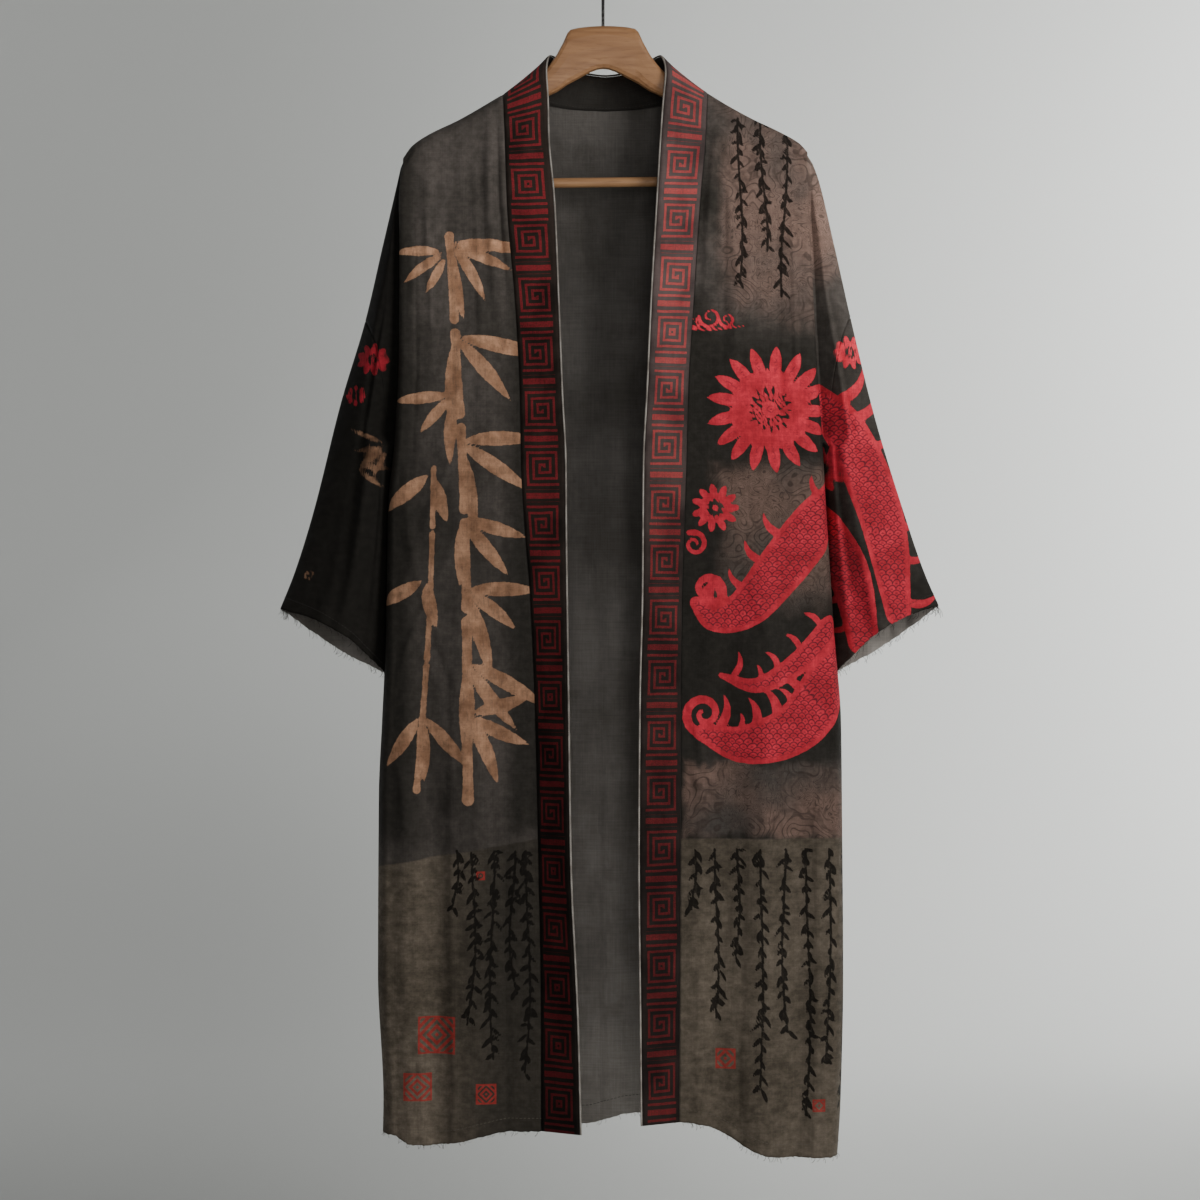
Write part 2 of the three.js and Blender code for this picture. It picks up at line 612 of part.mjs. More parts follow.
// The first ring lies just outside the armhole edges of the front and the back.
function armholeRing(side, frontEdge, backEdge) {
  const lay = (point, row) => {
    const open = ease((frontEdge[0].z - point.z) / WRAP_BLEND);
    const tucked = point.clone();
    tucked.x += SIGN[side] * SEAM_GAP * (ARMHOLE_GAPS + SHOULDER_GAPS * (1 - open));
    tucked.y -= Math.sign(point.y) * SLEEVE_TUCK * open;
    return row === 0 ? tucked.setY(0) : tucked;
  };
  const front = frontEdge.slice(0, UNDERARM_ROW).map(lay);
  const back = backEdge.slice(1, UNDERARM_ROW).map((point, row) => lay(point, row + 1));
  const foot = front.at(-1).clone().setY(0);
  foot.z -= UNDERARM_STEP / 2;
  return [...front, foot, ...back.reverse()];
}

function sleeveRing(side, share, heights) {
  const read = (column) => along(SLEEVES[side], 'share', column, share);
  const outer = new THREE.Vector3(SIGN[side] * read('outer'), 0, read('outerTop'));
  const corner = new THREE.Vector3(SIGN[side] * read('corner'), 0, read('cornerTop'));
  const inner = new THREE.Vector3(SIGN[side] * read('inner'), 0, read('innerTop'));
  const chord = inner.clone().sub(outer).normalize();
  const upward = new THREE.Vector3(-SIGN[side] * Math.abs(chord.z), 0, Math.abs(chord.x));
  const opening = ease((share - CUFF_OPENS) / (1 - CUFF_OPENS));
  const deep = read('deep');
  const place = (s, face) => {
    const point = outer.clone().multiplyScalar((1 - s) ** 2)
      .addScaledVector(corner, 2 * s * (1 - s))
      .addScaledVector(inner, s * s);
    const hump = Math.sin(Math.PI * s);
    const lift = face < 0 ? CUFF_LIFT : -CUFF_DROP;
    point.addScaledVector(upward, lift * opening * hump);
    const waves = SLEEVE_WAVES.reduce((sum, wave) => (
      sum + wave.height * Math.sin(2 * Math.PI * (wave.around * s + wave.along * share))), 0);
    point.x = SIGN[side] * Math.max(Math.abs(point.x), nearestToBody(side, share, point.z));
    const out = deep * hump ** SLEEVE_BULGE + SLEEVE_FOLD * waves * hump * hump * ease(share / WAVE_START);
    point.y = face * Math.min(out, roomBeside(side, Math.abs(point.x), point.z));
    return point;
  };
  const front = heights.map((s) => place(s, -1));
  const back = heights.slice(1, -1).map((s) => place(s, 1));
  return [...front, ...back.reverse()];
}

function sleevePoints(side, frontEdge, backEdge) {
  const first = armholeRing(side, frontEdge, backEdge);
  const top = first[0].z;
  const foot = first[UNDERARM_ROW].z;
  const heights = first.slice(0, UNDERARM_ROW + 1).map((point) => (top - point.z) / (top - foot));
  const ring = (share) => sleeveRing(side, share, heights);
  const shoulder = [first];
  for (let k = 1; k <= SHOULDER_RINGS; k += 1) {
    shoulder.push(ring(SLEEVE_SEAM * (k / SHOULDER_RINGS) ** RING_SPREAD));
  }
  const seamStep = SEAM_GAP / SLEEVE_RUN;
  const sleeve = [];
  for (let k = 0; k <= SLEEVE_RINGS; k += 1) {
    sleeve.push(ring(mix(SLEEVE_SEAM + 2 * seamStep, 1, k / SLEEVE_RINGS)));
  }
  return { shoulder, sleeve };
}

// ---------------------------------------------------------------- collar band

const BAND_COLUMNS = 3;

// Stations of the band along one front, from the hem up to the shoulder.
function frontStations(side, rows) {
  const top = SHOULDER[side][0].height;
  return [...rows].reverse().map(([seam, beside]) => {
    const depth = top - seam.z;
    const rise = along(FRONT_NECK, 'depth', 'rise', depth);
    const height = seam.z + rise;
    const turn = rise > 0
      ? along(FRONT_NECK, 'depth', 'turn', depth)
      : along(BAND_LINE[side], 'height', 'turn', height);
    const across = along(BAND_LINE[side], 'height', 'edge', height);
    return { seam, beside, edge: new THREE.Vector3(SIGN[side] * across, seam.y - turn, height) };
  });
}

// Stations along the back neck, from the right shoulder to the left.
function neckStations(edge, below) {
  return edge.map((seam, k) => {
    const side = seam.x < NECK_CENTRE ? 'right' : 'left';
    const half = SHOULDER[side][0].across - SIGN[side] * NECK_CENTRE;
    const share = Math.abs(seam.x - NECK_CENTRE) / half;
    const read = (column) => along(BACK_NECK, 'share', column, share);
    const across = NECK_CENTRE + SIGN[side] * read('across');
    return { seam, beside: below[k], edge: new THREE.Vector3(across, read('out'), read('height')) };
  });
}

function bandPoints(stations) {
  return stations.map(({ seam, beside, edge }) => {
    const across = edge.clone().sub(seam);
    const width = across.length();
    across.normalize();
    const straight = across.dot(seam.clone().sub(beside).normalize());
    const gap = SEAM_GAP + (BAND / 2) * Math.sqrt(1 - straight * straight);
    const start = seam.clone().addScaledVector(across, gap);
    return Array.from({ length: BAND_COLUMNS + 1 }, (_, k) => (
      start.clone().addScaledVector(across, (k / BAND_COLUMNS) * (width - gap))
    ));
  });
}

// A round edging that follows the band's free edge.
function edgingRings(band) {
  const centres = band.map((row) => {
    const across = row.at(-1).clone().sub(row.at(-2)).normalize();
    return row.at(-1).clone().addScaledVector(across, EDGING / 2 + SEAM_GAP);
  });
  return centres.map((centre, i) => {
    const run = centres[Math.min(i + 1, centres.length - 1)].clone().sub(centres[Math.max(i - 1, 0)]).normalize();
    const across = band[i].at(-1).clone().sub(band[i].at(-2));
    across.addScaledVector(run, -across.dot(run)).normalize();
    const outward = run.clone().cross(across);
    return Array.from({ length: EDGING_SIDES }, (_, k) => {
      const angle = (2 * Math.PI * (k + 0.5)) / EDGING_SIDES;
      return centre.clone()
        .addScaledVector(across, (EDGING / 2) * Math.cos(angle))
        .addScaledVector(outward, (EDGING / 2) * Math.sin(angle));
    });
  });
}

// ---------------------------------------------------------------- hanger

function armSection(across) {
  const read = (column) => along(ARM, 'across', column, Math.abs(across));
  const [top, bottom, half] = [read('top'), read('bottom'), read('half')];
  const middle = (top + bottom) / 2 + across * HANGER_TILT;
  return Array.from({ length: ARM_SIDES }, (_, k) => {
    const angle = (2 * Math.PI * k) / ARM_SIDES;
    const [c, s] = [Math.cos(angle), Math.sin(angle)];
    return new THREE.Vector3(
      across,
      half * Math.sign(c) * Math.abs(c) ** ARM_SQUARENESS,
      middle + ((top - bottom) / 2) * Math.sign(s) * Math.abs(s) ** ARM_SQUARENESS,
    );
  });
}

function cylinderAlongX(radius, from, to, height) {
  const cylinder = new THREE.CylinderGeometry(radius, radius, Math.abs(to - from), BAR_SIDES);
  cylinder.rotateZ(Math.PI / 2);
  cylinder.translate((from + to) / 2, 0, height);
  return cylinder;
}

function hangerGeometry() {
  const stations = [...ARM].reverse().map((row) => -row.across).concat(ARM.slice(1).map((row) => row.across));
  let wood = solidOf(rod(stations.map(armSection)));
  for (const sign of [-1, 1]) {
    const height = BAR_HEIGHT + sign * BAR_REACH * HANGER_TILT;
    const socket = cylinderAlongX(BAR_DIAMETER / 2 + FIT, sign * SOCKET_START, sign * (BAR_REACH + FIT), height);
    wood = wood.subtract(solidOf(socket));
  }
  const bore = new THREE.CylinderGeometry(WIRE / 2 + FIT, WIRE / 2 + FIT, BORE_LENGTH, BORE_SIDES);
  bore.rotateX(Math.PI / 2);
  bore.translate(0, 0, STEM_FOOT - FIT + BORE_LENGTH / 2);
  return geometryOfSolid(wood.subtract(solidOf(bore)));
}

function barGeometry() {
  const bar = cylinderAlongX(BAR_DIAMETER / 2, -BAR_REACH, BAR_REACH, 0);
  bar.rotateY(-Math.atan(HANGER_TILT));
  bar.translate(0, 0, BAR_HEIGHT);
  return mergeVertices(bar.deleteAttribute('normal').deleteAttribute('uv'));
}

// The wire: a straight stem, a reverse curve to one side, and a bend over the rail.
function hookPath() {
  const centre = WIRE / 2 - HOOK_RADIUS;
  const path = new THREE.CurvePath();
  const point = (x, z) => new THREE.Vector3(x, 0, z);
  path.add(new THREE.LineCurve3(point(0, STEM_FOOT), point(0, STEM_TOP)));
  path.add(new THREE.CubicBezierCurve3(
    point(0, STEM_TOP), point(0, STEM_TOP + STEM_EASE), point(HOOK_RADIUS, centre - BEND_EASE), point(HOOK_RADIUS, centre),
  ));
  const turned = (degrees) => {
    const angle = THREE.MathUtils.degToRad(degrees);
    return point(HOOK_RADIUS * Math.cos(angle), centre + HOOK_RADIUS * Math.sin(angle));
  };
  const arc = [];
  for (let degrees = 0; degrees <= HOOK_TURN; degrees += HOOK_STEP) arc.push(turned(degrees));
  path.add(new THREE.CatmullRomCurve3(arc));
  return path;
}

function hookGeometry() {
  const path = hookPath();
  const rings = [];
  for (let k = 0; k <= WIRE_RINGS; k += 1) {
    const centre = path.getPointAt(k / WIRE_RINGS);
    const run = path.getTangentAt(k / WIRE_RINGS);
    const across = new THREE.Vector3(-run.z, 0, run.x);
    const nearTip = clamp((WIRE_RINGS - k) / 2, TIP_SHARE, 1);
    rings.push(Array.from({ length: WIRE_SIDES }, (_, j) => {
      const angle = (2 * Math.PI * j) / WIRE_SIDES;
      return centre.clone()
        .addScaledVector(across, (WIRE / 2) * nearTip * Math.cos(angle))
        .add(new THREE.Vector3(0, (WIRE / 2) * nearTip * Math.sin(angle), 0));
    }));
  }
  return rod(rings);
}

// ---------------------------------------------------------------- the object

const fronts = { right: frontPoints('right'), left: frontPoints('left') };
const back = backPoints();

add('front_right', wall(fronts.right, CLOTH), 'cloth');
add('front_left', wall(fronts.left, CLOTH), 'cloth');
add('back', wall(back, CLOTH), 'cloth');

for (const side of ['right', 'left']) {
  const frontEdge = fronts[side].map((row) => row.at(-1));
  const backEdge = back.map((row) => row.at(side === 'right' ? 0 : -1));
  const { shoulder, sleeve } = sleevePoints(side, frontEdge, backEdge);
  add(`sleeve_top_${side}`, wall(shoulder, CLOTH, true), 'cloth');
  add(`sleeve_${side}`, wall(sleeve, CLOTH, true), 'cloth');
}

const beyondNeck = RIDGE_COLUMNS + WRAP_COLUMNS + 1;
const [neckEdge, belowNeck] = [back[0], back[2]].map((row) => row.slice(beyondNeck, -beyondNeck));
const band = bandPoints([
  ...frontStations('right', fronts.right),
  ...neckStations(neckEdge, belowNeck),
  ...frontStations('left', fronts.left).reverse(),
]);
add('collar_band', wall(band, BAND), 'band');
add('band_edging', rod(edgingRings(band)), 'edging');

add('hanger_body', hangerGeometry(), 'wood');
add('hanger_bar', barGeometry(), 'wood');
add('hook', hookGeometry(), 'wire');

export default group;
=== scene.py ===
# A long open-fronted kimono on a wooden hanger: finish, folds, print and sewing.
import math

import bmesh
import bpy
import numpy as np
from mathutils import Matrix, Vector


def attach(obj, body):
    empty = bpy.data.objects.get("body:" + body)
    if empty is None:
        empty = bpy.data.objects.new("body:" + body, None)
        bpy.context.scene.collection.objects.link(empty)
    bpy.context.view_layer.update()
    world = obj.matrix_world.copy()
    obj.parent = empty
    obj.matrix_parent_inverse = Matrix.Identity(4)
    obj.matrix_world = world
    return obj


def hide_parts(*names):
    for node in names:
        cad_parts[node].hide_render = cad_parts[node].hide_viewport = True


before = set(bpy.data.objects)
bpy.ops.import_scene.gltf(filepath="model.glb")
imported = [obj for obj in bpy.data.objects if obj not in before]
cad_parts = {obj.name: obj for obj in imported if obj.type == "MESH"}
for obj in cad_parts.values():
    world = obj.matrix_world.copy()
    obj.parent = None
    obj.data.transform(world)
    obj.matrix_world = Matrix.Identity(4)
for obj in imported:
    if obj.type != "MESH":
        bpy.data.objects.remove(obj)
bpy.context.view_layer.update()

MM = 0.001
SIDES = ("right", "left")
SIGN = {"right": -1.0, "left": 1.0}

# ---- camera and studio

CAMERA_PLACE = (-3.2 * MM, -3000 * MM, -686.8 * MM)
LENS = 84.3  # millimetres on a 36 mm sensor
FLOOR = -1560 * MM
WALL = 4200 * MM


def into_scene(name, data):
    thing = bpy.data.objects.new(name, data)
    bpy.context.scene.collection.objects.link(thing)
    return thing


def add_camera():
    data = bpy.data.cameras.new("camera")
    data.lens, data.sensor_width, data.clip_end = LENS, 36.0, 60.0
    camera = into_scene("camera", data)
    camera.location = CAMERA_PLACE
    camera.rotation_euler = (math.pi / 2, 0.0, 0.0)
    bpy.context.scene.camera = camera


add_camera()

# ---- the cut, in millimetres

CLOTH = 1.3  # finished thickness of the robe's cloth
BAND = 2.2  # finished thickness of the doubled band
EDGING = 2.0  # thickness of the cord on the band's inner edge
SEAM_GAP, RIDGE_GAP = 0.25, 0.3  # beside the band's seam, and between front and back at the ridge
SHOULDER_ROUND = 17.0  # radius of the cloth over the hanger's arms
WRAP_BLEND, WRAP_TURN = 35.0, math.radians(150)  # height in which the side roll starts, and its turn
ARMHOLE_HALF, ARMHOLE_ENDS = 12.0, 4.2
SIDE_SEAM_HALF = 0.85
SLEEVE_TUCK = 2.9  # the sleeve's first ring lies inside the armhole's edge
UNDERARM, UNDERARM_STEP = -505.0, 4.0
ROLL_ROWS, ROLL_DEPTH = 14, 26.0  # close rows over the shoulder, and how far down they go
FRONT_FLAT, BACK_FLAT = 0.75, 0.86  # share of the columns before the side roll
SNUG, SNUG_BLEND = 1.7, 60  # inner fold of the sleeve from the body's edge, below the underarm
SLEEVE_HEAD_DROP = 1.6  # the sleeve's head tucks in just under the shoulder's end
BAND_WIDTH = 46  # of the flat band's print
THREAD_LIFT = 0.12  # of stitches from the cloth's face
SIDE_THINNING = 0.14  # how much closer the sides hang than the middle


def table(names, *rows):
    """A small table with named columns, as one array for each. What a row leaves out at its end is 0."""
    names = names.split()
    return dict(zip(names, np.array([row + (0.0,) * (len(names) - len(row)) for row in rows]).T))


SWING = table("depth out", (0, 0), (60, 6), (150, 13), (300, 22), (500, 31.5), (750, 41), (1110, 52))
SIDE_LINE = table("height right left", (-209, 212.5, 217.3), (-264, 216.4, 217.5), (-311, 215.8, 220),
    (-422, 216, 225.5), (-516, 220.6, 232), (-587, 227.4, 236), (-729, 229.7, 245), (-814, 233.4, 251.5),
    (-895, 236.8, 252.4), (-1080, 237.5, 253.5), (-1215, 231.5, 250.5), (-1275, 233, 246.8))
BAND_LINE = {
    "right": table("height seam edge turn", (-107, 107.8, 59.5, 0), (-119, 107.8, 62, 0),
        (-154, 106, 59.5, 1), (-192, 104.6, 58.9, 3), (-264, 102.1, 52.6, 5), (-382, 92.4, 47.4, 12),
        (-476, 87.6, 43.6, 14), (-540, 86.5, 40.3, 12), (-611, 82.6, 39.7, 14), (-681, 76.8, 38.7, 20),
        (-792, 71.5, 36.8, 28), (-959, 67.4, 34.3, 29), (-1125, 64.6, 27, 26), (-1250, 64.5, 23.9, 22)),
    "left": table("height seam edge turn", (-107, 111.1, 67.5, 0), (-119, 111.1, 68.5, 0),
        (-154, 110.6, 65.4, 1), (-192, 109.4, 62.6, 3), (-264, 103.2, 58.2, 5), (-371, 95.9, 51.8, 12),
        (-470, 89.7, 47.2, 15), (-540, 88, 43.6, 14), (-681, 83.1, 42.3, 17), (-792, 81.6, 39.6, 17),
        (-959, 81.2, 38.5, 17), (-1125, 80.2, 39.9, 20), (-1240, 79.4, 40.9, 21)),
}
SHOULDER = {
    "right": table("across height", (107.8, -148.6), (152.9, -174.8), (186.2, -191), (202.9, -202.5),
        (212.5, -215.4)),
    "left": table("across height", (111.1, -146.5), (130.3, -158.3), (163.4, -176.3), (192.2, -190),
        (209, -200), (217.3, -209)),
}
HEM = {
    "right": table("across height", (64, -1241.5), (98, -1241.2), (131, -1246), (164, -1254.2),
        (191, -1257.4), (214, -1256.3), (231, -1247)),
    "left": table("across height", (80, -1231.3), (110.7, -1236.2), (144, -1251), (157.7, -1259),
        (184.5, -1267.8), (211, -1270), (245, -1271)),
    "back": table("share height", (-1, -1247), (-0.6, -1256), (-0.1, -1258), (0.12, -1246), (0.5, -1252),
        (1, -1271)),
}
FRONT_NECK = table("depth rise turn", (0, 29.5, 10.6), (4, 25, 2.6), (10, 19, 0.2), (24, 12, 0.4),
    (45, 5, 1.4), (80, 0, 3))
BACK_NECK = table("share across out height", (0, 0, 28, -124), (0.3, 24, 27, -120.5), (0.55, 44, 24, -111.5),
    (0.74, 57, 14, -104.5), (0.87, 61.5, 5, -105.5), (0.94, 62.3, -3, -109.5))
NECK_SEAM = {
    side: table(
        "share out height",
        (0, 34, -159.6), (0.3, 32, -158.3), (0.55, 26.5, -155), (0.74, 20, -150.5),
        (0.87, 13.5, -145.5), (0.94, 6.5, -145), (1, 0, SHOULDER[side]["height"][0]),
    )
    for side in SIDES
}
NECK_CENTRE, NECK_OUT = 2.5, 34.0
RING_COLUMNS = "share outer outer_top corner corner_top inner inner_top deep"
SLEEVE_LINE = {
    "right": table(RING_COLUMNS, (0, 213.2, -216, 209, -360, 217.5, -502, 12),
        (0.12, 218.5, -240, 211, -350, 219, -512, 19), (0.28, 235, -311, 213, -368, 222.5, -545, 26),
        (0.42, 253.1, -389, 226, -428, 229, -596, 30), (0.6, 279, -476, 237, -540, 228.5, -650, 32),
        (0.8, 309, -595, 262, -651, 231, -715, 34), (0.92, 329, -659, 278, -704, 232, -750, 34),
        (1, 343.8, -695.9, 288, -731, 232.5, -765.8, 33)),
    "left": table(RING_COLUMNS, (0, 218.5, -210, 217, -358, 228.5, -502, 12),
        (0.12, 229, -237, 218, -350, 230, -512, 19), (0.28, 246.6, -310, 221, -366, 235, -545, 26),
        (0.42, 263.5, -385, 236, -426, 241.5, -596, 30), (0.6, 289, -490, 249, -548, 245, -650, 32),
        (0.8, 321, -595, 277, -651, 249.5, -715, 34), (0.92, 341, -654, 294, -702, 251.5, -748, 34),
        (1, 357.7, -693.2, 304, -728, 252.5, -762.6, 33)),
}
SLEEVE_SEAM = 0.42  # share of the sleeve's length at which a seam crosses it
FIRST_RING = SLEEVE_SEAM * 0.2 ** 1.25
CUFF_LIFT, CUFF_DROP, SLEEVE_FOLD = 13.0, 6.0, 4.5
# Soft folds: place across, top, bottom, width, rise, what is left at the bottom and lean.
FOLD_COLUMNS = "across top bottom width rise end lean"
FOLDS = {
    "right": table(FOLD_COLUMNS, (0.17, -152, -440, 0.055, 5), (0.08, -152, -400, 0.035, -4),
        (0.45, -620, -1260, 0.14, 6, 1), (0.7, -800, -1260, 0.1, -6, 1), (0.9, -520, -1260, 0.07, 4, 1),
        (0.3, -190, -560, 0.03, 1.2, 0, 0.05), (0.62, -240, -520, 0.03, -1.1, 0, -0.04),
        (0.82, -230, -470, 0.025, 1.6, 0, -0.06), (0.93, -250, -620, 0.02, -1.4, 0, -0.03),
        (0.22, -880, -1260, 0.035, -1.8, 1, 0.02), (0.57, -700, -1260, 0.03, 1.6, 1, 0.03),
        (0.83, -900, -1260, 0.03, 1.5, 1, -0.02), (0.12, -560, -900, 0.03, 1.0, 0, 0.02),
        (0.4, -430, -760, 0.05, -1.3, 0, 0.08)),
    "left": table(FOLD_COLUMNS, (0.1, -152, -400, 0.05, 4), (0.28, -640, -1260, 0.11, -6, 1),
        (0.55, -560, -1260, 0.13, 7, 1), (0.8, -860, -1260, 0.09, -6, 1),
        (0.24, -170, -520, 0.03, -1.5, 0, 0.05), (0.5, -220, -560, 0.035, 1.3, 0, -0.03),
        (0.78, -230, -600, 0.03, -1.4, 0, -0.05), (0.92, -240, -540, 0.02, 1.5, 0, -0.04),
        (0.12, -760, -1260, 0.035, 1.6, 1, 0.02), (0.42, -820, -1260, 0.03, -1.4, 1, -0.02),
        (0.68, -700, -1260, 0.03, 1.6, 1, 0.02), (0.92, -800, -1260, 0.03, 1.8, 1),
        (0.35, -430, -700, 0.045, 1.0, 0, 0.06)),
    "back": table(FOLD_COLUMNS, (-0.8, -430, -1260, 0.09, 9, 1), (-0.52, -600, -1260, 0.1, -9, 1),
        (-0.24, -270, -1260, 0.09, 8, 1), (0.06, -200, -1260, 0.08, -8, 1), (0.3, -400, -1260, 0.09, 9, 1),
        (0.58, -520, -1260, 0.1, -8, 1), (0.83, -460, -1260, 0.08, 7, 1),
        (-0.92, -300, -900, 0.03, -1.6, 0, 0.03), (-0.66, -240, -700, 0.03, 1.6, 0, 0.05),
        (-0.38, -220, -640, 0.025, -1.5, 0, 0.04), (-0.1, -190, -560, 0.025, 1.8, 0, 0.01),
        (-0.02, -640, -1260, 0.02, 1.6, 1, 0.01), (0.16, -300, -1100, 0.022, 2.0, 0, -0.02),
        (0.44, -230, -700, 0.03, -1.7, 0, -0.05), (0.7, -260, -760, 0.03, 1.5, 0, -0.04),
        (-0.4, -800, -1260, 0.03, 1.8, 1, -0.02), (0.42, -860, -1260, 0.03, -1.6, 1, 0.02),
        (-0.7, -860, -1260, 0.03, 1.6, 1, 0.02), (0.92, -420, -1000, 0.03, -1.5)),
}


def ease(value):
    value = np.clip(value, 0.0, 1.0)
    return value * value * (3.0 - 2.0 * value)


def mix(low, high, share):
    return low + (high - low) * share


def stacked(*parts):
    return np.stack(parts, axis=-1)


def length_of(vectors):
    return np.linalg.norm(vectors, axis=-1, keepdims=True)


def unit(vectors):
    return vectors / np.maximum(length_of(vectors), 1e-9)


def arc_of(line):
    """Distance along a line of points, or along each row of a surface, from its first point."""
    steps = np.cumsum(np.linalg.norm(np.diff(line, axis=-2), axis=-1), axis=-1)
    return np.concatenate((np.zeros_like(steps[..., :1]), steps), axis=-1)


def along(rows, given, wanted, value):
    """Reads a table as a smooth curve that never overshoots its rows."""
    place, level = rows[given], rows[wanted]
    if place[0] > place[-1]:
        place, level = place[::-1], level[::-1]
    value = np.clip(value, place[0], place[-1])
    step = np.diff(place)
    slope = np.diff(level) / step
    product = slope[:-1] * slope[1:]
    total = np.where(product > 0, slope[:-1] + slope[1:], 1.0)
    tangent = np.concatenate(([slope[0]], np.where(product > 0, 2 * product / total, 0.0), [slope[-1]]))
    k = np.clip(np.searchsorted(place, value, side="right") - 1, 0, len(step) - 1)
    t = (value - place[k]) / step[k]
    bend = step[k] * (tangent[k] * t * (1 - t) ** 2 - tangent[k + 1] * t * t * (1 - t))
    return mix(level[k], level[k + 1], t * t * (3 - 2 * t)) + bend


def round_over(depth):
    rest = SHOULDER_ROUND - np.clip(depth, 0, SHOULDER_ROUND)
    return np.sqrt(SHOULDER_ROUND ** 2 - rest ** 2)


def swing(depth):
    return along(SWING, "depth", "out", np.maximum(depth - SHOULDER_ROUND, 0))


def hung_out(depth):
    """How far the cloth hangs from the ridge of the shoulder."""
    return np.maximum(round_over(depth) + swing(depth), RIDGE_GAP / 2)


def edge_half(side, height):
    end = SHOULDER[side]["height"][-1]
    depth = np.maximum(end - height, 0)
    armhole = end - UNDERARM - UNDERARM_STEP
    lens = mix(ARMHOLE_ENDS, ARMHOLE_HALF, np.sin(np.pi * np.clip(depth / armhole, 0, 1)) ** 0.7)
    opened = np.minimum(lens, 0.62 * (round_over(depth) + swing(depth)))
    return mix(SIDE_SEAM_HALF, opened, ease((height - UNDERARM) / UNDERARM_STEP))


def roll_radius(height):
    return 9 + 6 * ease((UNDERARM - height) / 600)


def folds_at(folds, across, height):
    total = 0.0
    for start, top, bottom, width, rise, end, lean in zip(*folds.values()):
        run = (top - height) / (top - bottom)
        weight = ease(run * 3) * mix(1 - ease((run - 0.55) / 0.45), 1, end)
        middle = start + lean * np.clip(run, 0, 1)
        total = total + rise * weight * np.exp(-((across - middle) / width) ** 2)
    return total


def row_heights(top, hem, rows):
    """Heights of the rows below a top edge: close together over the shoulder's roll."""
    near = ROLL_DEPTH * (np.arange(ROLL_ROWS) / ROLL_ROWS) ** 1.3
    far = np.linspace(0, 1, rows - ROLL_ROWS)[:, None]
    return np.concatenate((top - near[:, None], mix(top - ROLL_DEPTH, hem, far)))


def hung_cloth(side, face, folds, sideways, share, turn, height, depth, full, start, seam):
    """Points of a front or of half the back, from its inner seam to the rolled side.

    share goes from 0 at the inner seam to 1 where the roll starts, and turn from 0 to 1 round it.
    """
    flat_out = (1 - SIDE_THINNING * share ** 3 * ease(depth / 60)) * full
    flat_out = flat_out + folds_at(FOLDS[folds], sideways, height) * ease(depth / 20)
    radius, reach = roll_radius(height), along(SIDE_LINE, "height", side, height)
    deep = (flat_out - edge_half(side, height)) / (1 - math.cos(WRAP_TURN))
    rolled_across = reach - radius + radius * np.sin(turn * WRAP_TURN)
    rolled_out = flat_out - deep * (1 - np.cos(turn * WRAP_TURN))
    low_across = np.where(turn > 0, rolled_across, mix(seam, reach - radius, share))
    low_out = np.where(turn > 0, rolled_out, flat_out)
    opened = ease(depth / WRAP_BLEND)
    across, out = mix(start, low_across, opened), mix(full, low_out, opened)
    return stacked(SIGN[side] * across, face * out, height)


def front_surface(side, rows, columns):
    c = np.linspace(0, 1, columns)
    share = np.minimum(c / FRONT_FLAT, 1)
    turn = np.maximum(c - FRONT_FLAT, 0) / (1 - FRONT_FLAT)
    shoulder, hem = SHOULDER[side], HEM[side]
    top_across = mix(shoulder["across"][0], shoulder["across"][-1], c)
    top = along(shoulder, "across", "height", top_across)
    hem_across = mix(hem["across"][0], hem["across"][-1], share)
    height = row_heights(top, along(hem, "across", "height", hem_across), rows)
    depth = top - height
    seam = along(BAND_LINE[side], "height", "seam", height)
    start = np.where(c == 0, seam, top_across)
    return hung_cloth(side, -1, side, share, share, turn, height, depth, hung_out(depth), start, seam)


def back_half(side, rows, columns):
    shoulder, neck_seam, centre = SHOULDER[side], NECK_SEAM[side], SIGN[side] * NECK_CENTRE
    seam_top, end = shoulder["across"][0], shoulder["across"][-1]
    flat_end = mix(seam_top, end, 3 / 7)
    flat = int(columns * BACK_FLAT)
    turn = np.concatenate((np.zeros(flat), np.linspace(0, 1, columns - flat + 1)[1:]))
    top_across = np.concatenate((np.linspace(centre, flat_end, flat), mix(flat_end, end, turn[flat:])))
    neck_share = np.clip((top_across - centre) / (seam_top - centre), 0, 1)
    over_neck = neck_share < 1
    top = np.where(over_neck, along(neck_seam, "share", "height", neck_share),
                   along(shoulder, "across", "height", top_across))
    neck = np.where(over_neck, along(neck_seam, "share", "out", neck_share) / NECK_OUT, 0)
    share = np.minimum(top_across / flat_end, 1)
    sideways = SIGN[side] * share
    height = row_heights(top, along(HEM["back"], "share", "height", sideways), rows)
    depth = top - height
    hung = mix(round_over(depth), NECK_OUT, neck) + swing(depth) * (1 - 0.36 * neck)
    full = np.maximum(hung, RIDGE_GAP / 2)
    return hung_cloth(side, 1, "back", sideways, share, turn, height, depth, full, top_across, 0)


def back_surface(rows, columns):
    right, left = (back_half(side, rows, columns) for side in SIDES)
    return np.concatenate((right[:, ::-1], left[:, 1:]), axis=1)


def armhole_edge(side, height, face):
    """Where the sleeve's first ring lies, at these heights, in front (-1) or behind (1)."""
    depth = SHOULDER[side]["height"][-1] - height
    opened = ease(depth / WRAP_BLEND)
    radius = roll_radius(height)
    rolled = along(SIDE_LINE, "height", side, height) - radius + radius * math.sin(WRAP_TURN)
    across = mix(SHOULDER[side]["across"][-1], rolled, opened) + 1.0 - 1.8 * (1 - opened)
    out = mix(hung_out(depth), edge_half(side, height), opened) - SLEEVE_TUCK * opened
    return stacked(SIGN[side] * across, face * out, height)


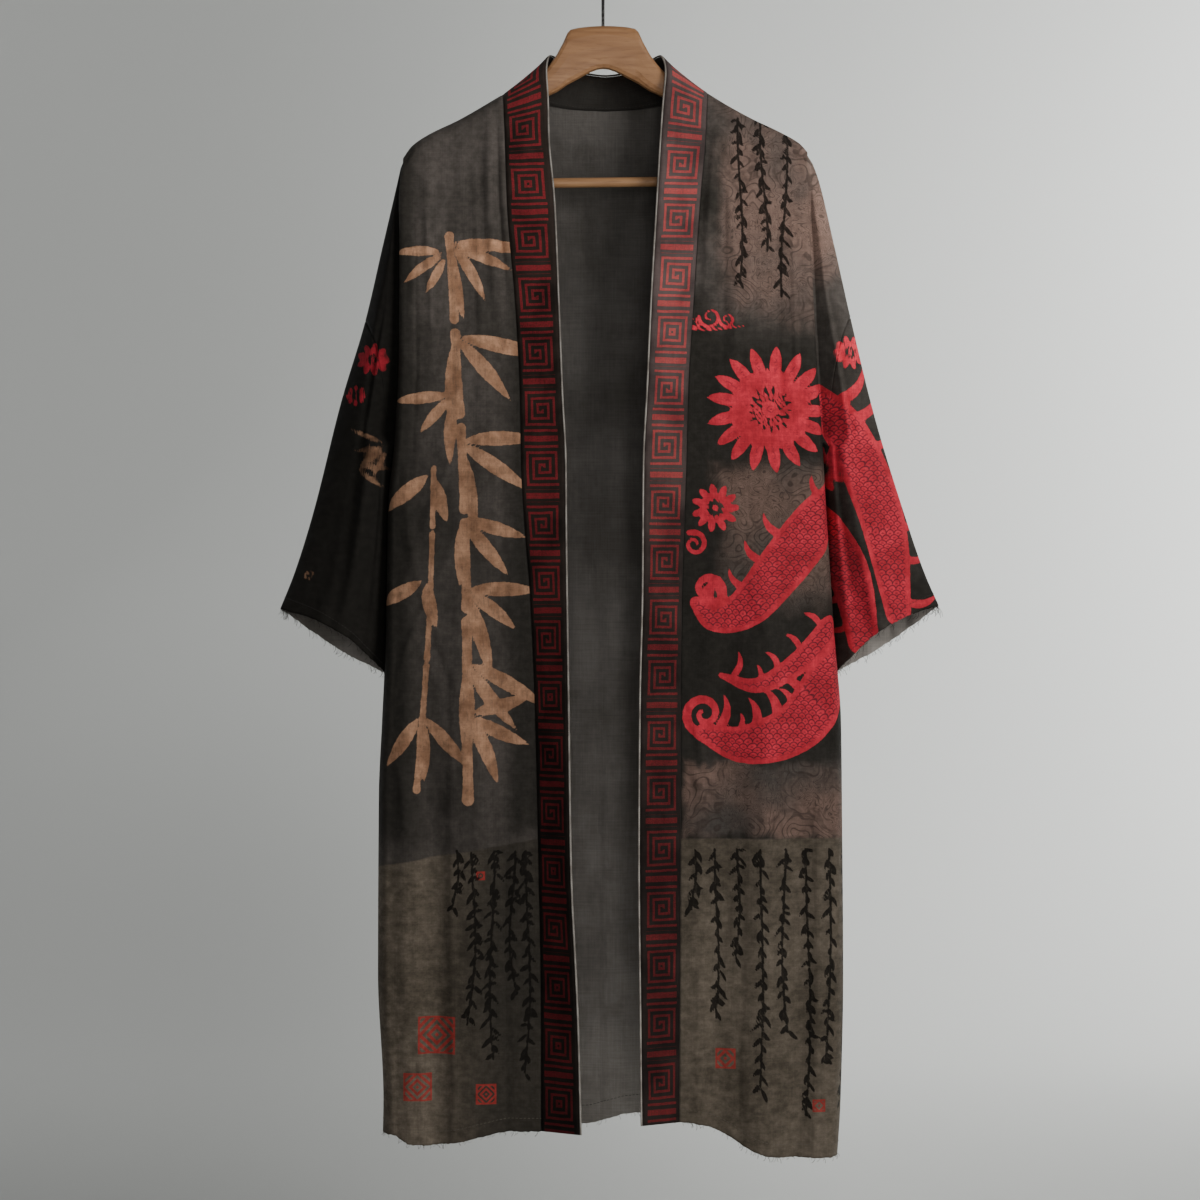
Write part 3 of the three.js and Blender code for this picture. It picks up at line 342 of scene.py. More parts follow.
def sleeve_ring(side, share, s, face):
    sign = SIGN[side]

    def read(column):
        return along(SLEEVE_LINE[side], "share", column, share)

    def corner_at(name):
        return stacked(sign * read(name), read(name + "_top"))

    outer, corner, inner = (corner_at(name) for name in ("outer", "corner", "inner"))
    chord = unit(inner - outer)
    upward = stacked(-sign * np.abs(chord[..., 1]), np.abs(chord[..., 0]))
    hump = np.sin(np.pi * s)
    lift = (CUFF_LIFT if face < 0 else -CUFF_DROP) * ease((share - 0.55) / 0.45) * hump
    place = outer * ((1 - s) ** 2)[..., None] + corner * (2 * s * (1 - s))[..., None]
    place = place + inner * (s * s)[..., None] + upward * lift[..., None]
    waves = np.sin(2 * np.pi * (2.2 * s + 0.35 * share)) + 0.5 * np.sin(2 * np.pi * (3.7 * s - 0.8 * share))
    creases = 0.9 * np.sin(2 * np.pi * (6.1 * s - 1.7 * share + 0.2 * face)) * ease(share * 3)
    out = read("deep") * hump ** 0.75
    out = out + (SLEEVE_FOLD * waves + creases) * hump * hump * ease(share / 0.4)
    across, height = np.abs(place[..., 0]), place[..., 1]
    reach = along(SIDE_LINE, "height", side, height)
    seam = reach - roll_radius(height) / 2 + 2.0 + 8 * share
    beside = mix(seam, np.maximum(seam, reach + 2.4), ease((UNDERARM - height) / 12))
    across = np.maximum(across, beside)
    below = ease((UNDERARM - height[:, -1:]) / SNUG_BLEND)
    across = across - np.maximum(across[:, -1:] - reach[:, -1:] - SNUG, 0) * below * s ** 3
    inside = np.maximum(edge_half(side, height) - SLEEVE_TUCK, 1.6)
    room = inside + np.maximum(across - reach - 4, 0) + 40 * ease((UNDERARM - 4 - height) / 30)
    return stacked(sign * across, face * np.minimum(out, room), height)


def sleeve_surface(side, start, stop, rings, around):
    """Rings of a sleeve between two shares of its length, round from the outer fold."""
    turn = np.linspace(0, np.pi, around // 2 + 1)
    share, s = np.meshgrid(np.linspace(start, stop, rings), (1 - np.cos(turn)) / 2, indexing="ij")
    top = SHOULDER[side]["height"][-1] - SLEEVE_HEAD_DROP
    foot = UNDERARM + UNDERARM_STEP / 2
    halves = []
    for face in (-1, 1):
        first = armhole_edge(side, top - s * (top - foot), face)
        first[..., 1] *= np.minimum(np.minimum(s, 1 - s) / 0.012, 1)
        ring = sleeve_ring(side, np.maximum(share, FIRST_RING), s, face)
        halves.append(mix(first, ring, np.clip(share / FIRST_RING, 0, 1)[..., None]))
    return np.concatenate((halves[0], halves[1][:, -2:0:-1]), axis=1)


# ---- meshes from surfaces


def normals_of(points, closed):
    if closed:
        run = np.roll(points, -1, axis=1) - np.roll(points, 1, axis=1)
    else:
        run = np.gradient(points, axis=1)
    return unit(np.cross(np.gradient(points, axis=0), run))


def signed_volume(vertices, quads):
    a, b, c, d = (vertices[quads[:, k]] for k in range(4))
    return float(np.sum(a * np.cross(b, c)) + np.sum(a * np.cross(c, d)))


def quads_of(grid):
    """The corners of each cell of a grid of numbers."""
    return stacked(grid[:-1, :-1], grid[1:, :-1], grid[1:, 1:], grid[:-1, 1:]).reshape(-1, 4)


def smooth_mesh(name, vertices, faces, *finishes):
    mesh = bpy.data.meshes.new(name)
    mesh.from_pydata(np.asarray(vertices).tolist(), [], faces if isinstance(faces, list) else faces.tolist())
    mesh.polygons.foreach_set("use_smooth", [True] * len(faces))
    for finish in finishes:
        mesh.materials.append(finish)
    return mesh


def wall_piece(name, points, thickness, uv, finishes, closed=False, outward=-1, values=None):
    """A closed thin wall on a surface. Its face has the first finish, its inside the second.

    uv gives each point's place on the flat cloth in millimetres, outward is 1 where the face
    looks to the back, and values holds further named numbers for each point, for the print.
    """
    rows, columns = points.shape[:2]
    normal = normals_of(points, closed)
    if normal[rows // 2, columns // 3, 1] * outward < 0:
        normal = -normal
    lift = normal * thickness / 2
    vertices = np.concatenate(((points + lift).reshape(-1, 3), (points - lift).reshape(-1, 3))) * MM
    count = rows * columns
    grid = np.arange(count).reshape(rows, columns)
    if closed:
        grid = np.concatenate((grid, grid[:, :1]), axis=1)
    laid = np.arange(uv.shape[0] * uv.shape[1]).reshape(uv.shape[:2])
    face, face_laid = quads_of(grid), quads_of(laid)
    quads, quads_laid = [face, face[:, ::-1] + count], [face_laid, face_laid[:, ::-1]]
    edges = [np.s_[0], np.s_[-1, ::-1]] + ([] if closed else [np.s_[::-1, 0], np.s_[:, -1]])
    for edge in edges:
        first, second = grid[edge][:-1], grid[edge][1:]
        quads.append(stacked(first, second, second + count, first + count))
        first, second = laid[edge][:-1], laid[edge][1:]
        quads_laid.append(stacked(first, second, second, first))
    quads, quads_laid = np.concatenate(quads), np.concatenate(quads_laid)
    mesh = smooth_mesh(name, vertices, quads, *finishes)
    mesh.polygons.foreach_set("material_index", (np.arange(len(quads)) // len(face) == 1).astype(np.int32))
    lay_flat(mesh, uv.reshape(-1, 2)[quads_laid.ravel()])
    for key, numbers in (values or {}).items():
        twice = np.tile(numbers.ravel(), 2).astype(np.float32)
        mesh.attributes.new(key, "FLOAT", "POINT").data.foreach_set("value", twice)
    if signed_volume(vertices, quads) < 0:
        mesh.flip_normals()
    return into_scene(name, mesh)


def lay_flat(mesh, places):
    """Gives each corner of a mesh its place on the flat cloth, from millimetres."""
    layer = mesh.uv_layers.new(name="cloth")
    layer.data.foreach_set("uv", (places * MM).astype(np.float32).ravel())


# ---- finishes


def operation(kind, turned=False):
    """A sign of arithmetic between values, as one math node."""
    def work(value, *others):
        values = (*others, value) if turned else (value, *others)
        return value.paint.add("ShaderNodeMath", enumerate(values), operation=kind)
    return work


class Value:
    """An output of a node, used in plain arithmetic."""

    def __init__(self, paint, socket):
        self.paint, self.socket = paint, socket

    __add__, __radd__ = operation("ADD"), operation("ADD", True)
    __sub__, __rsub__ = operation("SUBTRACT"), operation("SUBTRACT", True)
    __mul__, __rmul__ = operation("MULTIPLY"), operation("MULTIPLY", True)
    __truediv__, __rtruediv__ = operation("DIVIDE"), operation("DIVIDE", True)
    __lt__, __gt__, __mod__ = operation("LESS_THAN"), operation("GREATER_THAN"), operation("FLOORED_MODULO")
    __abs__, floor, fract = operation("ABSOLUTE"), operation("FLOOR"), operation("FRACT")
    sine, root = operation("SINE"), operation("SQRT")


class Paint:
    """Adds nodes to one node tree and joins them."""

    def __init__(self, tree):
        self.tree = tree

    def join(self, value, socket):
        if isinstance(value, Value):
            self.tree.links.new(value.socket, socket)
        else:
            socket.default_value = value

    def node(self, kind, inputs=(), **settings):
        node = self.tree.nodes.new(kind)
        for key, value in settings.items():
            setattr(node, key, value)
        for key, value in dict(inputs).items():
            self.join(value, node.inputs[key])
        return node

    def add(self, kind, inputs=(), out=0, **settings):
        return Value(self, self.node(kind, inputs, **settings).outputs[out])

    def solid_place(self):
        return self.add("ShaderNodeTexCoord", out="Object")

    def flat_place(self):
        return self.add("ShaderNodeUVMap", uv_map="cloth")

    def attribute(self, name):
        return self.add("ShaderNodeAttribute", out="Fac", attribute_name=name, attribute_type="GEOMETRY")

    def use(self, group, **inputs):
        """The first output of a shared effect, or all of them by name where it has more."""
        node = self.tree.nodes.new("ShaderNodeGroup")
        node.node_tree = group
        for key, value in inputs.items():
            self.join(value, node.inputs[key])
        made = {out.name: Value(self, out) for out in node.outputs}
        return made if len(made) > 1 else made[node.outputs[0].name]


def either(first, *others):
    for value in others:
        first = operation("MAXIMUM")(first, value)
    return first


def both(first, *others):
    for value in others:
        first = operation("MINIMUM")(first, value)
    return first


def step(value, start, end, low=0.0, high=1.0):
    """A smooth step from low at start to high at end."""
    return value.paint.add("ShaderNodeMapRange", enumerate((value, start, end, low, high)),
                           interpolation_type="SMOOTHSTEP")


def blend(factor, a, b, kind="MIX"):
    paint = next(value.paint for value in (factor, a, b) if isinstance(value, Value))
    a, b = (value if isinstance(value, Value) else (*value, 1) for value in (a, b))
    return paint.add("ShaderNodeMix", {0: factor, 6: a, 7: b}, 2, data_type="RGBA", blend_type=kind)


def noise(place, scale, detail=2.0, roughness=0.5, distortion=0.0):
    return place.paint.add("ShaderNodeTexNoise", {"Vector": place, "Scale": scale, "Detail": detail,
                                                  "Roughness": roughness, "Distortion": distortion}, "Fac")


def patchy(place, scale, detail, roughness, low, high):
    """Soft-edged patches of noise."""
    return step(noise(place, scale, detail, roughness), low, high)


def stretch(place, scale, turn=0.0):
    return place.paint.add("ShaderNodeMapping", {"Vector": place, "Rotation": (0, 0, turn), "Scale": scale})


def apart(place):
    return [Value(place.paint, out) for out in place.paint.node("ShaderNodeSeparateXYZ", {0: place}).outputs]


def together(paint, *numbers):
    return paint.add("ShaderNodeCombineXYZ", enumerate(numbers))


def effect(name, outputs, **inputs):
    """Makes a shared effect of a function, whose arguments are the effect's inputs.

    An input that starts at None is a place. The others are numbers.
    """
    def make(build):
        tree = bpy.data.node_groups.new(name, "ShaderNodeTree")
        for key, start in inputs.items():
            kind = "NodeSocketVector" if start is None else "NodeSocketFloat"
            socket = tree.interface.new_socket(key, in_out="INPUT", socket_type=kind)
            if start is not None:
                socket.default_value = start
        for key in outputs:
            tree.interface.new_socket(key, in_out="OUTPUT", socket_type="NodeSocketFloat")
        paint = Paint(tree)
        source = tree.nodes.new("NodeGroupInput").outputs
        sink = tree.nodes.new("NodeGroupOutput").inputs
        made = build(*(Value(paint, source[key]) for key in inputs))
        for key, value in zip(outputs, made):
            paint.join(value, sink[key])
        return tree
    return make


@effect("weave", ("Height", "Tone"), Place=None, Threads=900.0, Slub=0.5)
def WEAVE(place, threads, slub):
    """Plain-weave cloth with slubs: Height for the bump and Tone around 1 for the colour."""
    x, y, _ = apart(place)
    wobble = (noise(place, 60.0) - 0.5) * 0.004
    run, fall = (x + wobble) * threads, (y + wobble) * threads
    warp, weft = (abs((line * math.pi).sine()) for line in (run, fall))
    over = (run.floor() + fall.floor()) % 2.0
    cross = warp * over + weft * (1.0 - over)
    uneven = [noise(stretch(place, scale), 1.0) for scale in ((700, 22, 1), (22, 700, 1))]
    thick = uneven[0] + uneven[1] - 1.0
    return cross + thick * slub, 1.0 + ((cross - 0.6) * 0.22 + thick * slub)


@effect("worn_ink", ("Cover",), Distance=0.0, Place=None, Rough=1.0, Dry=0.4)
def WORN_INK(distance, place, rough, dry):
    """Printed or brushed colour inside a distance: dry edges, streaks along the cloth and rubbed spots."""
    edge = noise(place, 160.0, 3.0, 0.6) - 0.5
    fine = noise(place, 900.0, 2.0, 0.6) - 0.5
    shape = step(distance + (edge + fine * 0.6) * rough, -0.25, 0.35)
    streaks = noise(stretch(place, (420, 90, 1), 0.5), 1.0, 3.0, 0.65)
    rubbed = streaks * 0.65 + noise(place, 1500.0, 1.0) * 0.35
    return shape * (1.0 - step(rubbed, 0.5, 0.68) * dry),


@effect("fret", ("Cover",), Across=0.0, Along=0.0, Cell=60.0, Width=44.0, Pitch=6.2, Line=0.44, Place=None)
def FRET(across, run, cell, width, pitch, line, place):
    """A running fret: one square spiral in each cell of a band, with bars between the cells."""
    run = run + (noise(place, 45.0) - 0.5) * 1.6
    across = across + (noise(place, 38.0) - 0.5) * 1.2
    number = (run / cell).floor()
    draw = number.paint.add("ShaderNodeTexWhiteNoise", {"W": number}, "Value", noise_dimensions="1D")
    x = across * (1.0 - (draw > 0.5) * 2.0)
    y = (run - number * cell - cell * 0.5) * (1.0 - number % 2.0 * 2.0)
    high, wide = abs(y), abs(x)
    half = pitch * 0.5
    upper = either(abs(x - half), high) - half
    lower = either(wide, high)
    below = y < 0.0
    spiral = lower * below + upper * (1.0 - below)
    ringed = (draw * 7.0).fract() < 0.3
    turn = lower * ringed + spiral * (1.0 - ringed)
    off_line = abs((turn / pitch + 0.1).fract() - 0.5)
    drawn = step(off_line, line * 0.5 + 0.06, line * 0.5 - 0.06)
    reach, edge = cell * 0.5, width * 0.5
    within = step(wide, edge + 0.3, edge)
    inside = both(step(high, reach - 6.0, reach - 6.0 - 0.6), within)
    bar = both(step(high, reach - 3.4, reach - 2.7), within)
    return either(drawn * inside, bar),


@effect("scales", ("Mark",), Place=None, Size=9.0)
def SCALES(place, size):
    """Overlapping round scales, as in a wave pattern: 1 on the dark rims and spots."""
    sway = (noise(place, 30.0, 1.0) - 0.5) * 0.012
    x, y, _ = apart(place)
    unit = 1000.0 / size
    x, y = (x + sway) * unit, (y + sway) * (unit * 1.7)
    u = (x + y.floor() % 2.0 * 0.5).fract() - 0.5
    v = y.fract()
    reach = (u * u + v * v * 0.36).root()
    return either(step(abs(reach - 0.5), 0.1, 0.04), step(reach, 0.2, 0.12) * 0.8),


@effect("scroll", ("Line", "Cloud"), Place=None)
def SCROLL(place):
    """Fine engraved scrollwork: swirling lines with leaf-shaped cells."""
    bend = place.paint.add("ShaderNodeTexNoise", {"Vector": place, "Scale": 26.0, "Detail": 1.0}, "Color")
    moved = place.paint.add("ShaderNodeMixRGB", {0: 0.055, 1: place, 2: bend})
    cells = {"Vector": moved, "Scale": 30.0}
    rings, edges = (place.paint.add("ShaderNodeTexVoronoi", cells, "Distance", feature=feature)
                    for feature in ("F1", "DISTANCE_TO_EDGE"))
    hatch = step(abs((rings * 17.0).sine()), 0.5, 0.2)
    veins = step(edges, 0.06, 0.02)
    swirl = noise(place, 34.0, 1.0, 0.4, 2.2)
    bands = step(abs((swirl * 44.0).sine()), 0.5, 0.18)
    patch = patchy(place, 16.0, 1.0, 0.5, 0.46, 0.54)
    return either(hatch, veins * 0.6) * patch + bands * (1.0 - patch), noise(place, 9.0, 3.0)


@effect("lattice_square", ("Cover",), Place=None, Middle=None, Half=20.0, Pitch=7.0)
def LATTICE(place, middle, half, pitch):
    """A red printed square with a stepped lattice in it."""
    away = place.paint.add("ShaderNodeVectorMath", {0: place, 1: middle}, operation="SUBTRACT")
    x, y, _ = (side * 1000.0 for side in apart(away))
    wide = either(abs(x), abs(y))
    frame_cover = step(wide, half, half - 0.8)
    hollow = step(wide, half - 1.9, half - 2.7)
    phase = ((abs(x) + abs(y)) / pitch).fract()
    line = step(abs(phase - 0.5), 0.28, 0.2)
    return frame_cover * (1.0 - hollow * line),


# ---- printed motifs


def smooth_line(points, count):
    """A smooth line through a few points, as many points of it as asked for."""
    points = np.asarray(points, dtype=float)
    padded = np.concatenate((2 * points[:1] - points[1:2], points, 2 * points[-1:] - points[-2:-1]))
    at = np.linspace(0, len(points) - 1 - 1e-6, count)
    k, t = at.astype(int), (at % 1)[:, None]
    a, b, c, d = (padded[k + n] for n in range(4))
    return 0.5 * (2 * b + (c - a) * t + (2 * a - 5 * b + 4 * c - d) * t ** 2
                  + (3 * b - a - 3 * c + d) * t ** 3)


SPRAY_SPREAD = 1.9  # turn from the first leaf of a spray to its last


def heading_of(angle):
    return stacked(np.cos(angle), np.sin(angle))


class Print:
    """Signed distance, in millimetres, from each point of a flat cloth into a printed motif."""

    def __init__(self, place):
        self.place = place.reshape(-1, 2)
        self.shape = place.shape[:2]
        self.depth = np.full(len(self.place), -20.0)

    def stroke(self, line, radius):
        line = np.asarray(line, dtype=float)
        radius = np.broadcast_to(radius, len(line))
        margin = radius.max() + 4
        low, high = line.min(axis=0) - margin, line.max(axis=0) + margin
        near = np.nonzero(np.all((self.place > low) & (self.place < high), axis=1))[0]
        if len(near):
            away = np.linalg.norm(self.place[near, None] - line[None], axis=-1)
            self.depth[near] = np.maximum(self.depth[near], (radius[None] - away).max(axis=1))

    def leaf(self, root, heading, length, width, bend=0.15, tail=0.75):
        t = np.linspace(0, 1, max(int(length / 1.6), 8))
        line = np.asarray(root) + np.cumsum(heading_of(heading + bend * t) * (length / len(t)), axis=0)
        self.stroke(line, width / 2 * np.sin(np.pi * np.clip(t, 0.02, 0.985) ** tail) ** 0.8)


def bamboo(ink, foot, top, thick, joints):
    """A stalk in sections with open joints between them."""
    middle = mix(np.array(foot), np.array(top), 0.5) + (thick * 0.5, 0)
    line = smooth_line((foot, middle, top), 200)
    for k in range(joints):
        part = line[int(200 * k / joints) + 2:int(200 * (k + 1) / joints) - 2]
        t = np.linspace(-1, 1, len(part))
        ink.stroke(part, thick / 2 * (0.82 + 0.18 * t ** 4) * (1 - 0.25 * k / joints))


def leaf_spray(ink, rng, root, heading, count, length, width):
    for k in range(count):
        angle = heading + SPRAY_SPREAD * ((k + 0.5) / count - 0.5) + rng.uniform(-0.1, 0.1)
        share = rng.uniform(0.72, 1.12)
        broad = min(width, 0.3 * SPRAY_SPREAD * length / count) * (0.7 + 0.35 * share)
        ink.leaf(np.array(root) + 5 * heading_of(angle), angle, length * share, broad,
                 rng.uniform(-0.3, 0.3), 0.85)


def willow(ink, rng, x, top, bottom, gap=9.0, leaf=(17, 4.0)):
    """One hanging strand: a fine stem with small leaves in pairs or singly."""
    sway = rng.uniform(2, 5)
    phase = rng.uniform(0, 6)
    t = np.linspace(0, 1, max(int((top - bottom) / 2), 8))
    line = stacked(x + sway * np.sin(phase + 4.5 * t) * (0.4 + t), top + (bottom - top) * t)
    ink.stroke(line, rng.uniform(1.25, 1.6, len(t)))
    side, fall = rng.choice((-1, 1)), 0.0
    while fall < top - bottom:
        k = min(int(fall / 2), len(line) - 1)
        heading = -np.pi / 2 + side * rng.uniform(0.3, 0.75)
        ink.leaf(line[k], heading, leaf[0] * rng.uniform(0.55, 1.15), leaf[1] * rng.uniform(0.8, 1.3),
                 rng.uniform(-0.5, 0.5))
        if rng.uniform() < 0.4:
            ink.leaf(line[k], -np.pi / 2 - side * rng.uniform(0.5, 1.4), leaf[0] * 0.6, leaf[1], 0.2)
        side = -side
        fall += gap * rng.uniform(0.6, 1.3)


def bloom(ink, rng, middle, size, petals, rings=2):
    """A chrysanthemum: rings of narrow petals round a small eye."""
    for ring in range(rings):
        reach = size * (1 - 0.36 * ring)
        width = 2 * np.pi * reach * 0.62 / petals * 0.86
        for k in range(petals):
            angle = 2 * np.pi * (k + 0.5 * ring) / petals + rng.uniform(-0.04, 0.04)
            start = np.array(middle) + reach * 0.3 * heading_of(angle)
            ink.leaf(start, angle - 0.1, reach * 0.72, width, 0.22, 1.25)
    ink.stroke([middle], size * 0.13)


def wave(ink, rng, points, thick, side, crests, crest):
    """A long rolling band with curled crests along one side."""
    line = smooth_line(points, 160)
    radius = smooth_line([(r, 0) for r in thick], 160)[:, 0]
    ink.stroke(line, radius)
    run = np.gradient(line, axis=0)
    for k in range(crests):
        n = int((k + 0.5 + rng.uniform(-0.15, 0.15)) / crests * 159)
        out = math.atan2(run[n, 1], run[n, 0]) + side * 0.95
        size = rng.uniform(0.7, 1.2)
        ink.leaf(line[n] + radius[n] * 0.8 * heading_of(out), out, crest[0] * size, crest[1] * size,
                 side * 1.5, 0.55)


def curl(ink, middle, size, turn, way, thick):
    """A cloud curl: a spiral line that thins towards its heart."""
    t = np.linspace(0, 1, 70)
    line = np.array(middle) + heading_of(turn + way * 2 * np.pi * 1.35 * t) * (size * (1 - 0.82 * t))[:, None]
    ink.stroke(line, thick * (1 - 0.55 * t))


def cloud(ink, middle, size):
    x, y = middle
    curl(ink, (x, y), size, np.pi, 1, size * 0.16)
    curl(ink, (x + size * 1.5, y - size * 0.25), size * 0.7, np.pi, 1, size * 0.14)
    curl(ink, (x - size * 1.4, y - size * 0.4), size * 0.6, 0, -1, size * 0.13)
    foot = ((x - 2.4 * size, y - size), (x, y - 1.15 * size), (x + 2.9 * size, y - 0.85 * size))
    ink.stroke(smooth_line(foot, 60), size * 0.1)


def printed(seed, *inks):
    """Makes a print of a function that draws with these inks: the distance into each at each point."""
    def make(draw):
        def lay(place):
            prints = [Print(place) for _ in inks]
            draw(np.random.default_rng(seed), *prints)
            return {ink: made.depth.reshape(made.shape) for ink, made in zip(inks, prints)}
        return lay
    return make


@printed(71, "tan", "black")
def right_front_print(rng, tan, black):
    """Ink bamboo over hanging willow."""
    bamboo(tan, (-141, -902), (-163, -296), 13, 6)
    bamboo(tan, (-196, -890), (-178, -545), 8, 5)
    for root, heading, count, length in (
        ((-162, -308), -0.7, 4, 86), ((-165, -320), -2.6, 3, 54), ((-157, -408), -0.9, 3, 92),
        ((-156, -470), -2.4, 3, 64), ((-153, -520), -0.6, 3, 86), ((-180, -552), -1.9, 2, 58),
        ((-148, -600), -1.0, 3, 90), ((-186, -664), -2.0, 2, 66), ((-146, -676), -0.5, 3, 84),
        ((-143, -752), -1.0, 3, 92), ((-142, -806), -0.5, 3, 86), ((-191, -806), -1.4, 3, 74),
    ):
        leaf_spray(tan, rng, root, heading, count, length, 15)
    for x, bottom in ((-153, -1006), (-137, -1130), (-115, -1166), (-93, -1098), (-80, -1180)):
        willow(black, rng, x, -949, bottom)


@printed(19, "red", "black")
def left_front_print(rng, red, black):
    """Red waves and a chrysanthemum over hanging willow."""
    bloom(red, rng, (176, -486), 66, 17, 3)
    bloom(red, rng, (118, -590), 25, 11)
    wave(red, rng, ((300, -560), (236, -596), (190, -650), (152, -694), (118, -706), (98, -690)),
         (22, 26, 26, 21, 14, 7), -1, 9, (34, 8))
    curl(red, (110, -676), 19, -1.9, 1, 5.0)
    wave(red, rng, ((104, -826), (150, -838), (206, -818), (252, -760), (320, -724)), (9, 20, 27, 27, 26),
         1, 10, (38, 9))
    curl(red, (106, -806), 21, -1.7, -1, 5.2)
    wave(red, rng, ((124, -766), (162, -776), (206, -752), (240, -716)), (3, 8, 12, 13), 1, 5, (26, 6))
    cloud(red, (113, -388), 12)
    curl(red, (96, -628), 13, 2.0, -1, 3.0)
    for x, top, bottom in ((144, -176, -352), (169, -160, -318), (193, -172, -366)):
        willow(black, rng, x, top, bottom, 9, (16, 3.8))
    for x, bottom in ((96, -1010), (118, -1124), (141, -1060), (165, -1196), (190, -1140), (214, -1226),
                      (237, -1172), (262, -1210)):
        willow(black, rng, x, -948, bottom)


@printed(5, "tan", "red")
def right_sleeve_print(rng, tan, red):
    """Small blossoms, printed twice over, and two sprays of leaves."""
    for _ in range(2):
        bloom(red, rng, (-244, -432), 17, 9)
        bloom(red, rng, (-262, -470), 11, 8, 1)
    leaf_spray(tan, rng, (-226, -524), -2.8, 4, 40, 5)
    leaf_spray(tan, rng, (-262, -548), 0.1, 3, 34, 5)
    curl(tan, (-312, -662), 6, 0.4, 1, 1.3)


@printed(8, "red")
def left_sleeve_print(rng, red):
    """Waves that run down to the cuff, with two blossoms."""
    wave(red, rng, ((226, -470), (256, -506), (282, -560), (300, -620), (312, -700)), (14, 22, 26, 24, 14),
         1, 8, (46, 10))
    wave(red, rng, ((214, -590), (240, -622), (262, -664), (276, -730)), (20, 22, 20, 16), -1, 5, (36, 8))
    bloom(red, rng, (262, -424), 18, 10)
    bloom(red, rng, (232, -548), 26, 12)


FRONT_PRINT = {"right": right_front_print, "left": left_front_print}
SLEEVE_PRINT = {"right": right_sleeve_print, "left": left_sleeve_print}

# ---- materials


def finish_of(roughness, metallic=0.0, shine=0.12):
    """Makes a finish of a function that paints on its shader."""
    def make(build):
        def made(name, *values, **more):
            finish = bpy.data.materials.new(name)
            finish.use_nodes = True
            paint = Paint(finish.node_tree)
            shader = paint.tree.nodes["Principled BSDF"].inputs
            for key, value in (("Roughness", roughness), ("Metallic", metallic),
                               ("Specular IOR Level", shine)):
                shader[key].default_value = value
            build(paint, shader, *values, **more)
            return finish
        return made
    return make


def relief(paint, shader, height, distance, strength=0.8):
    paint.join(paint.add("ShaderNodeBump", {"Height": height, "Distance": distance, "Strength": strength}),
               shader["Normal"])


def woven(paint, shader, colour, tone, height, distance):
    """Lays a colour and a height on the shader, with the cloth's tone over the colour."""
    shade = together(paint, tone, tone, tone)
    paint.join(blend(1.0, colour, shade, "MULTIPLY"), shader["Base Color"])
    relief(paint, shader, height, distance)


CHARCOAL, CHARCOAL_DARK = (0.062, 0.053, 0.047), (0.02, 0.018, 0.015)
TAUPE, TAUPE_DARK = (0.125, 0.102, 0.078), (0.06, 0.049, 0.036)
BROWN, BROWN_LINE = (0.155, 0.1, 0.08), (0.034, 0.024, 0.02)
TAN, TAN_DARK, INK = (0.36, 0.2, 0.12), (0.22, 0.115, 0.066), (0.006, 0.005, 0.004)
RED, RED_DARK = (0.60, 0.036, 0.058), (0.44, 0.026, 0.04)
RED_MARK, SEAL = (0.055, 0.018, 0.026), (0.27, 0.028, 0.024)
FADE_LINE = -0.9367  # where the faded strip begins, in metres down the cloth
PAINTED_LIGHT_LOW, PAINTED_LIGHT_TOP = -0.62, -0.22  # heights between which painted light comes in towards the top; on the right sleeve it is painted shade
CLOTH_THREADS, BAND_THREADS = 780.0, 900.0  # to the metre
# How rough each ink's edges are, and how much of it is rubbed off.
WORN_EDGES = {"tan": (2.4, 0.5), "red": (1.6, 0.28), "black": (1.1, 0.25)}


def zone(x, y, rows):
    """Soft-edged rectangles on the flat cloth: each row gives its edges and softness in metres."""
    return either(*[both(
        step(x, left - soft, left + soft), step(x, right + soft, right - soft),
        step(y, low - soft, low + soft), step(y, high + soft, high - soft),
    ) for left, right, low, high, soft in rows])


